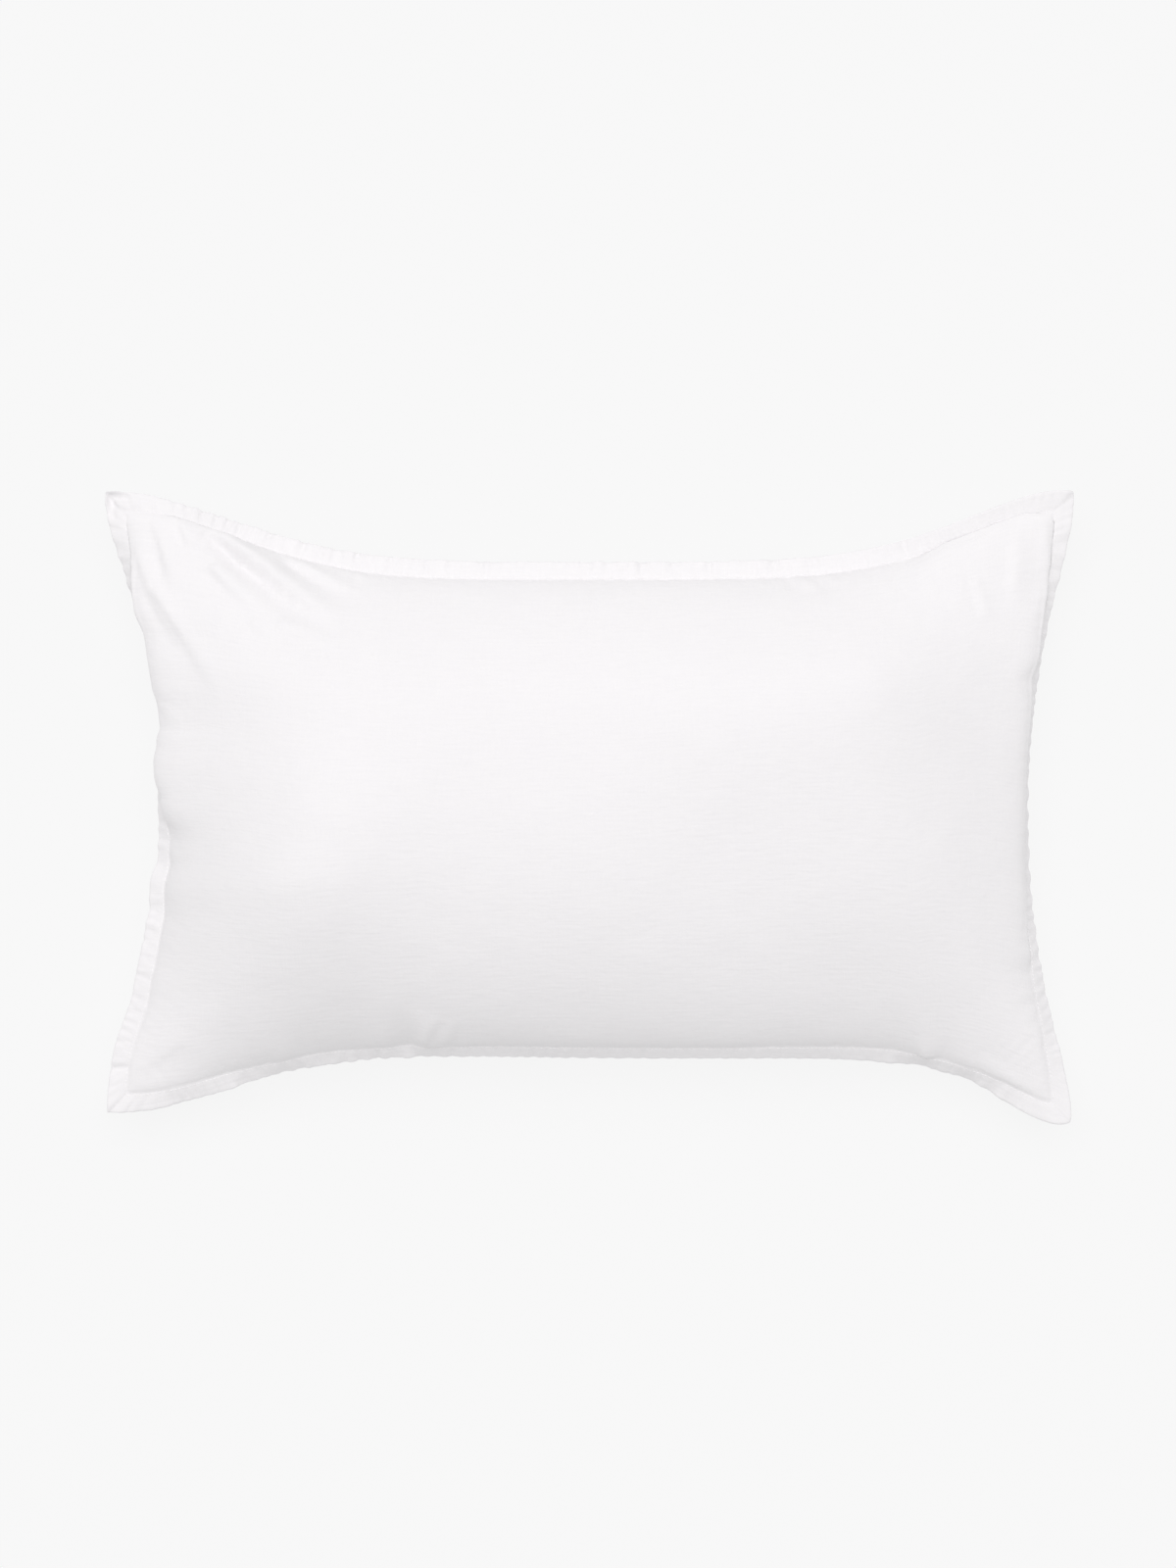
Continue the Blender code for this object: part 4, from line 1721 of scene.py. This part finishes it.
class Socket:
    """A shader value that is written in expressions: each operator adds its Math node."""

    def __init__(self, maker: "NodeMaker", output: bpy.types.NodeSocket) -> None:
        """Wraps an output of one of the maker's nodes."""
        self.maker = maker
        self.output = output

    def _math(self, operation: str, first: Any, second: Any) -> "Socket":
        """Adds a Math node that works on two values."""
        return self.maker.add("ShaderNodeMath", {"operation": operation}, {0: first, 1: second})

    def __add__(self, other: Any) -> "Socket":
        """The sum of two values."""
        return self._math("ADD", self, other)

    def __radd__(self, other: Any) -> "Socket":
        """The sum of a number and this value."""
        return self._math("ADD", other, self)

    def __sub__(self, other: Any) -> "Socket":
        """This value less another."""
        return self._math("SUBTRACT", self, other)

    def __rsub__(self, other: Any) -> "Socket":
        """A number less this value."""
        return self._math("SUBTRACT", other, self)

    def __mul__(self, other: Any) -> "Socket":
        """The product of two values."""
        return self._math("MULTIPLY", self, other)

    def __rmul__(self, other: Any) -> "Socket":
        """The product of a number and this value."""
        return self._math("MULTIPLY", other, self)


class NodeMaker:
    """Adds the nodes of one material."""

    def __init__(self, name: str) -> None:
        """Makes a material with an empty Principled shader.

        Args:
            name: The material's name.
        """
        self.material = bpy.data.materials.new(name)
        self.material.use_nodes = True
        self.tree = self.material.node_tree
        self.shader = self.tree.nodes["Principled BSDF"]

    def link(self, target: bpy.types.NodeSocket, value: Any) -> None:
        """Gives a socket a value, or a link where the value is another socket.

        Args:
            target: The socket that takes it.
            value: A value, or another socket.
        """
        if isinstance(value, Socket):
            self.tree.links.new(value.output, target)
        else:
            target.default_value = value

    def add(
        self,
        kind: str,
        settings: dict[str, Any],
        inputs: dict[Union[int, str], Any],
        output: Union[int, str] = 0,
    ) -> Socket:
        """Adds a node.

        Args:
            kind: The node's type.
            settings: Its settings, which are made first.
            inputs: The values or links of its sockets, by name or number.
            output: Which output to return.

        Returns:
            The output as a value for expressions.
        """
        node = self.tree.nodes.new(kind)
        for name, value in settings.items():
            setattr(node, name, value)
        for name, value in inputs.items():
            self.link(node.inputs[name], value)
        return Socket(self, node.outputs[output])

    def cloth_place(self) -> Socket:
        """Adds the node that reads each point's place in the cloth."""
        settings = {"attribute_type": "GEOMETRY", "attribute_name": CLOTH_PLACE}
        return self.add("ShaderNodeAttribute", settings, {}, "Vector")

    def bump(self, distance: float, height: Socket) -> Socket:
        """Adds a bump of a height pattern, which is a distance deep at most."""
        inputs = {"Strength": BUMP_STRENGTH, "Distance": distance, "Height": height}
        return self.add("ShaderNodeBump", {}, inputs)

    def mix_colour(self, factor: Socket, low: tuple, high: tuple) -> Socket:
        """Mixes two colours by a factor."""
        settings = {"data_type": "RGBA", "blend_type": "MIX"}
        return self.add("ShaderNodeMix", settings, {0: factor, 6: low, 7: high}, 2)

    def shade(self, **values: Any) -> bpy.types.Material:
        """Sets the shader's sockets, named with underscores, and returns the material.

        Args:
            values: The sockets' values or links.

        Returns:
            The material.
        """
        for name, value in values.items():
            self.link(self.shader.inputs[name.replace("_", " ")], value)
        return self.material


@dataclass(frozen=True)
class WashedLinen:
    """White washed linen: a plain weave of uneven yarns with thicker slubs both ways.

    A yarn is smooth noise, stretched along the yarn. The weft is a little stronger than the warp.
    """

    colour: tuple[float, float, float, float] = (0.856, 0.844, 0.852, 1.0)
    shaded_colour: tuple[float, float, float, float] = (0.816, 0.805, 0.816, 1.0)
    yarn: float = 0.0010
    slub_length: float = 0.012
    slub_thickness: float = 2.4
    slub_stretch: float = 2.0
    weave_layer: float = 40.0
    slub_layer: float = 60.0
    washed_scale: tuple[float, float, float] = (120.0, 170.0, 60.0)
    patch_scale: tuple[float, float, float] = (26.0, 26.0, 26.0)

    # The shares of warp and weft in the weave and in the slubs, and of each pattern in the
    # bump's height and in the tone.
    weave_shares: tuple[float, float] = (0.85, 1.15)
    slub_shares: tuple[float, float] = (0.75, 1.25)
    weave_height: float = 0.3
    washed_height: float = 2.2
    weave_tone: float = 0.4
    slub_tone: float = 0.5
    patch_tone: float = 0.4
    mean_tone: float = 0.6

    relief: float = 0.00026
    roughness: float = 0.88
    roughness_spread: float = 0.25

    def material(self) -> bpy.types.Material:
        """Builds the cloth's material, in which every pattern follows the cloth.

        Returns:
            The material.
        """
        maker = NodeMaker("washed_linen")
        place = maker.cloth_place()

        def noise(scale: tuple[float, float, float], detail: float) -> Socket:
            """Smooth noise from 0 to 1 over the cloth, stretched by its scale.

            Args:
                scale: The noise in turns for each metre, by direction.
                detail: How many finer layers it has.

            Returns:
                Its value.
            """
            vector_maths = {"operation": "MULTIPLY"}
            spread = maker.add("ShaderNodeVectorMath", vector_maths, {0: place, 1: scale})
            inputs = {"Vector": spread, "Scale": 1.0, "Detail": detail}
            return maker.add("ShaderNodeTexNoise", {}, inputs, "Fac")

        def both_ways(
            scale: tuple[float, float, float], detail: float, shares: tuple[float, float]
        ) -> Socket:
            """The same noise along the warp and along the weft, in their shares.

            Args:
                scale: The warp's noise in turns for each metre.
                detail: How many finer layers it has.
                shares: How much of the warp and of the weft is in it.

            Returns:
                The sum.
            """
            warp = noise(scale, detail)
            weft = noise((scale[1], scale[0], scale[2]), detail)
            return warp * shares[0] + weft * shares[1]

        fine, long = 1 / self.yarn, 1 / self.slub_length
        thick, longer = fine / self.slub_thickness, long / self.slub_stretch
        weave = both_ways((fine, long, self.weave_layer), 2.0, self.weave_shares)
        slubs = both_ways((thick, longer, self.slub_layer), 1.0, self.slub_shares)
        washed, patch = noise(self.washed_scale, 3.0), noise(self.patch_scale, 3.0)
        height = weave * self.weave_height + slubs + washed * self.washed_height
        tone = (weave - 1.0) * self.weave_tone + (slubs - 1.0) * self.slub_tone
        tone = tone + (patch - 0.5) * self.patch_tone + self.mean_tone
        clamped = maker.add("ShaderNodeClamp", {}, {"Value": tone, "Min": 0.0, "Max": 1.0})
        normal = maker.bump(self.relief, height)
        return maker.shade(
            Base_Color=maker.mix_colour(clamped, self.shaded_colour, self.colour),
            Roughness=(1.0 - weave * 0.5) * self.roughness_spread
            + (self.roughness - self.roughness_spread / 2),
            Normal=normal,
            Sheen_Weight=0.12,
            Sheen_Roughness=0.5,
            Specular_IOR_Level=0.25,
        )


@dataclass(frozen=True)
class SewingThread:
    """White sewing thread: two plies that turn round each other."""

    colour: tuple[float, float, float, float] = (0.930, 0.920, 0.925, 1.0)
    # The colour of the groove between the plies: painted shade, darker where the bump is low.
    shaded_colour: tuple[float, float, float, float] = (0.880, 0.870, 0.875, 1.0)
    ply: float = 0.0006
    relief: float = 0.00008

    def material(self) -> bpy.types.Material:
        """Builds the thread's material: slanting bands along and round it, with painted shade in
        the groove between the plies.

        Returns:
            The material.
        """
        maker = NodeMaker("sewing_thread")
        place = maker.cloth_place()
        along = maker.add("ShaderNodeSeparateXYZ", {}, {"Vector": place}, "X")
        round_it = maker.add("ShaderNodeSeparateXYZ", {}, {"Vector": place}, "Y")
        phase = along * (2 * math.pi / self.ply) + round_it * (2 * math.pi)
        band = maker.add("ShaderNodeMath", {"operation": "SINE"}, {0: phase}) * 0.5 + 0.5
        normal = maker.bump(self.relief, band)
        return maker.shade(
            # Painted shade: the colour darkens towards the low side of each band, in the groove
            # between the plies.
            Base_Color=maker.mix_colour(band, self.shaded_colour, self.colour),
            Roughness=0.75 - band * 0.1,
            Normal=normal,
            Sheen_Weight=0.1,
            Specular_IOR_Level=0.3,
        )


@dataclass(frozen=True)
class PaleFloor:
    """A plain pale studio floor that glows a little, so that shadows on it stay soft."""

    colour: tuple[float, float, float, float] = (0.08, 0.08, 0.08, 1.0)
    glow: float = 0.849

    def material(self) -> bpy.types.Material:
        """Builds the floor's material.

        Returns:
            The material.
        """
        maker = NodeMaker("pale_floor")
        return maker.shade(
            Base_Color=self.colour,
            Roughness=1.0,
            Specular_IOR_Level=0.0,
            Emission_Color=(1.0, 1.0, 1.0, 1.0),
            Emission_Strength=self.glow,
        )


# --------------------------------------------------------------------------------------------
# The studio
# --------------------------------------------------------------------------------------------


@dataclass
class Studio:
    """The floor, the soft light and the camera, which looks straight down on the case's face."""

    image_width: int = 1200
    image_height: int = 1600
    metres_per_pixel: float = 0.000746
    centre_px: tuple[float, float] = (601.5, 824.0)
    lens: float = 90.0
    sensor: float = 36.0
    face_height: float = 0.060
    floor_size: float = 44.0
    fill: float = 0.575
    key: float = 1.72
    key_colour: tuple[float, float, float] = (1.0, 0.986, 0.995)
    key_from: tuple[float, float, float] = (-0.048, 0.303, 0.952)
    key_spread: float = math.radians(50)
    clip_end: float = 50.0

    def build(self) -> None:
        """Builds the floor, the world, the key light and the camera."""
        self.floor()
        self.world()
        self.key_light()
        self.camera()

    def floor(self) -> None:
        """Builds the floor, which isn't part of the object."""
        half = self.floor_size / 2
        mesh = bpy.data.meshes.new("studio_floor")
        corners = [(-half, -half, 0), (half, -half, 0), (half, half, 0), (-half, half, 0)]
        mesh.from_pydata(corners, [], [(0, 1, 2, 3)])
        mesh.materials.append(PaleFloor().material())
        floor = bpy.data.objects.new("studio_floor", mesh)
        bpy.context.scene.collection.objects.link(floor)

    def world(self) -> None:
        """Lights everything evenly from all round."""
        world = bpy.data.worlds.new("studio")
        world.use_nodes = True
        background = world.node_tree.nodes["Background"]
        background.inputs["Color"].default_value = (1.0, 1.0, 1.0, 1.0)
        background.inputs["Strength"].default_value = self.fill
        bpy.context.scene.world = world

    def key_light(self) -> None:
        """Adds a wide soft light from beyond the top of the case, as even as a large window."""
        light = bpy.data.lights.new("key_light", "SUN")
        light.energy = self.key
        light.angle = self.key_spread
        light.color = self.key_colour
        lamp = bpy.data.objects.new("key_light", light)
        x, y, z = self.key_from
        lamp.rotation_euler = (math.atan2(math.hypot(x, y), z), 0, math.atan2(y, x) + math.pi / 2)
        lamp.location = (2 * x, 2 * y, 2 * z)
        bpy.context.scene.collection.objects.link(lamp)

    def camera(self) -> None:
        """Places the camera so that the case lies in the frame as it does in the photograph."""
        scale = self.metres_per_pixel
        data = bpy.data.cameras.new("camera")
        data.lens = self.lens
        data.sensor_width = self.sensor
        data.clip_end = self.clip_end
        camera = bpy.data.objects.new("camera", data)
        x = (self.image_width / 2 - self.centre_px[0]) * scale
        y = (self.centre_px[1] - self.image_height / 2) * scale
        distance = self.image_height * scale * self.lens / self.sensor
        camera.location = (x, y, self.face_height + distance)
        bpy.context.scene.collection.objects.link(camera)
        bpy.context.scene.camera = camera
        bpy.context.scene.view_settings.view_transform = "Standard"


def main() -> None:
    """Loads the frame, builds the case and the studio, and logs each piece's faces."""
    logging.basicConfig(level=logging.INFO, format="%(name)s: %(message)s")
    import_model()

    case = FilledCase()
    cloth = case.build()
    cloth.data.materials.append(WashedLinen().material())
    stitching = Stitching(case).build()
    stitching.data.materials.append(SewingThread().material())
    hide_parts("pillowcase")
    for piece in (cloth, stitching):
        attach(piece, "root")
        LOG.info("%s: %d faces", piece.name, len(piece.data.polygons))

    Studio().build()


if __name__ == "__main__":
    main()
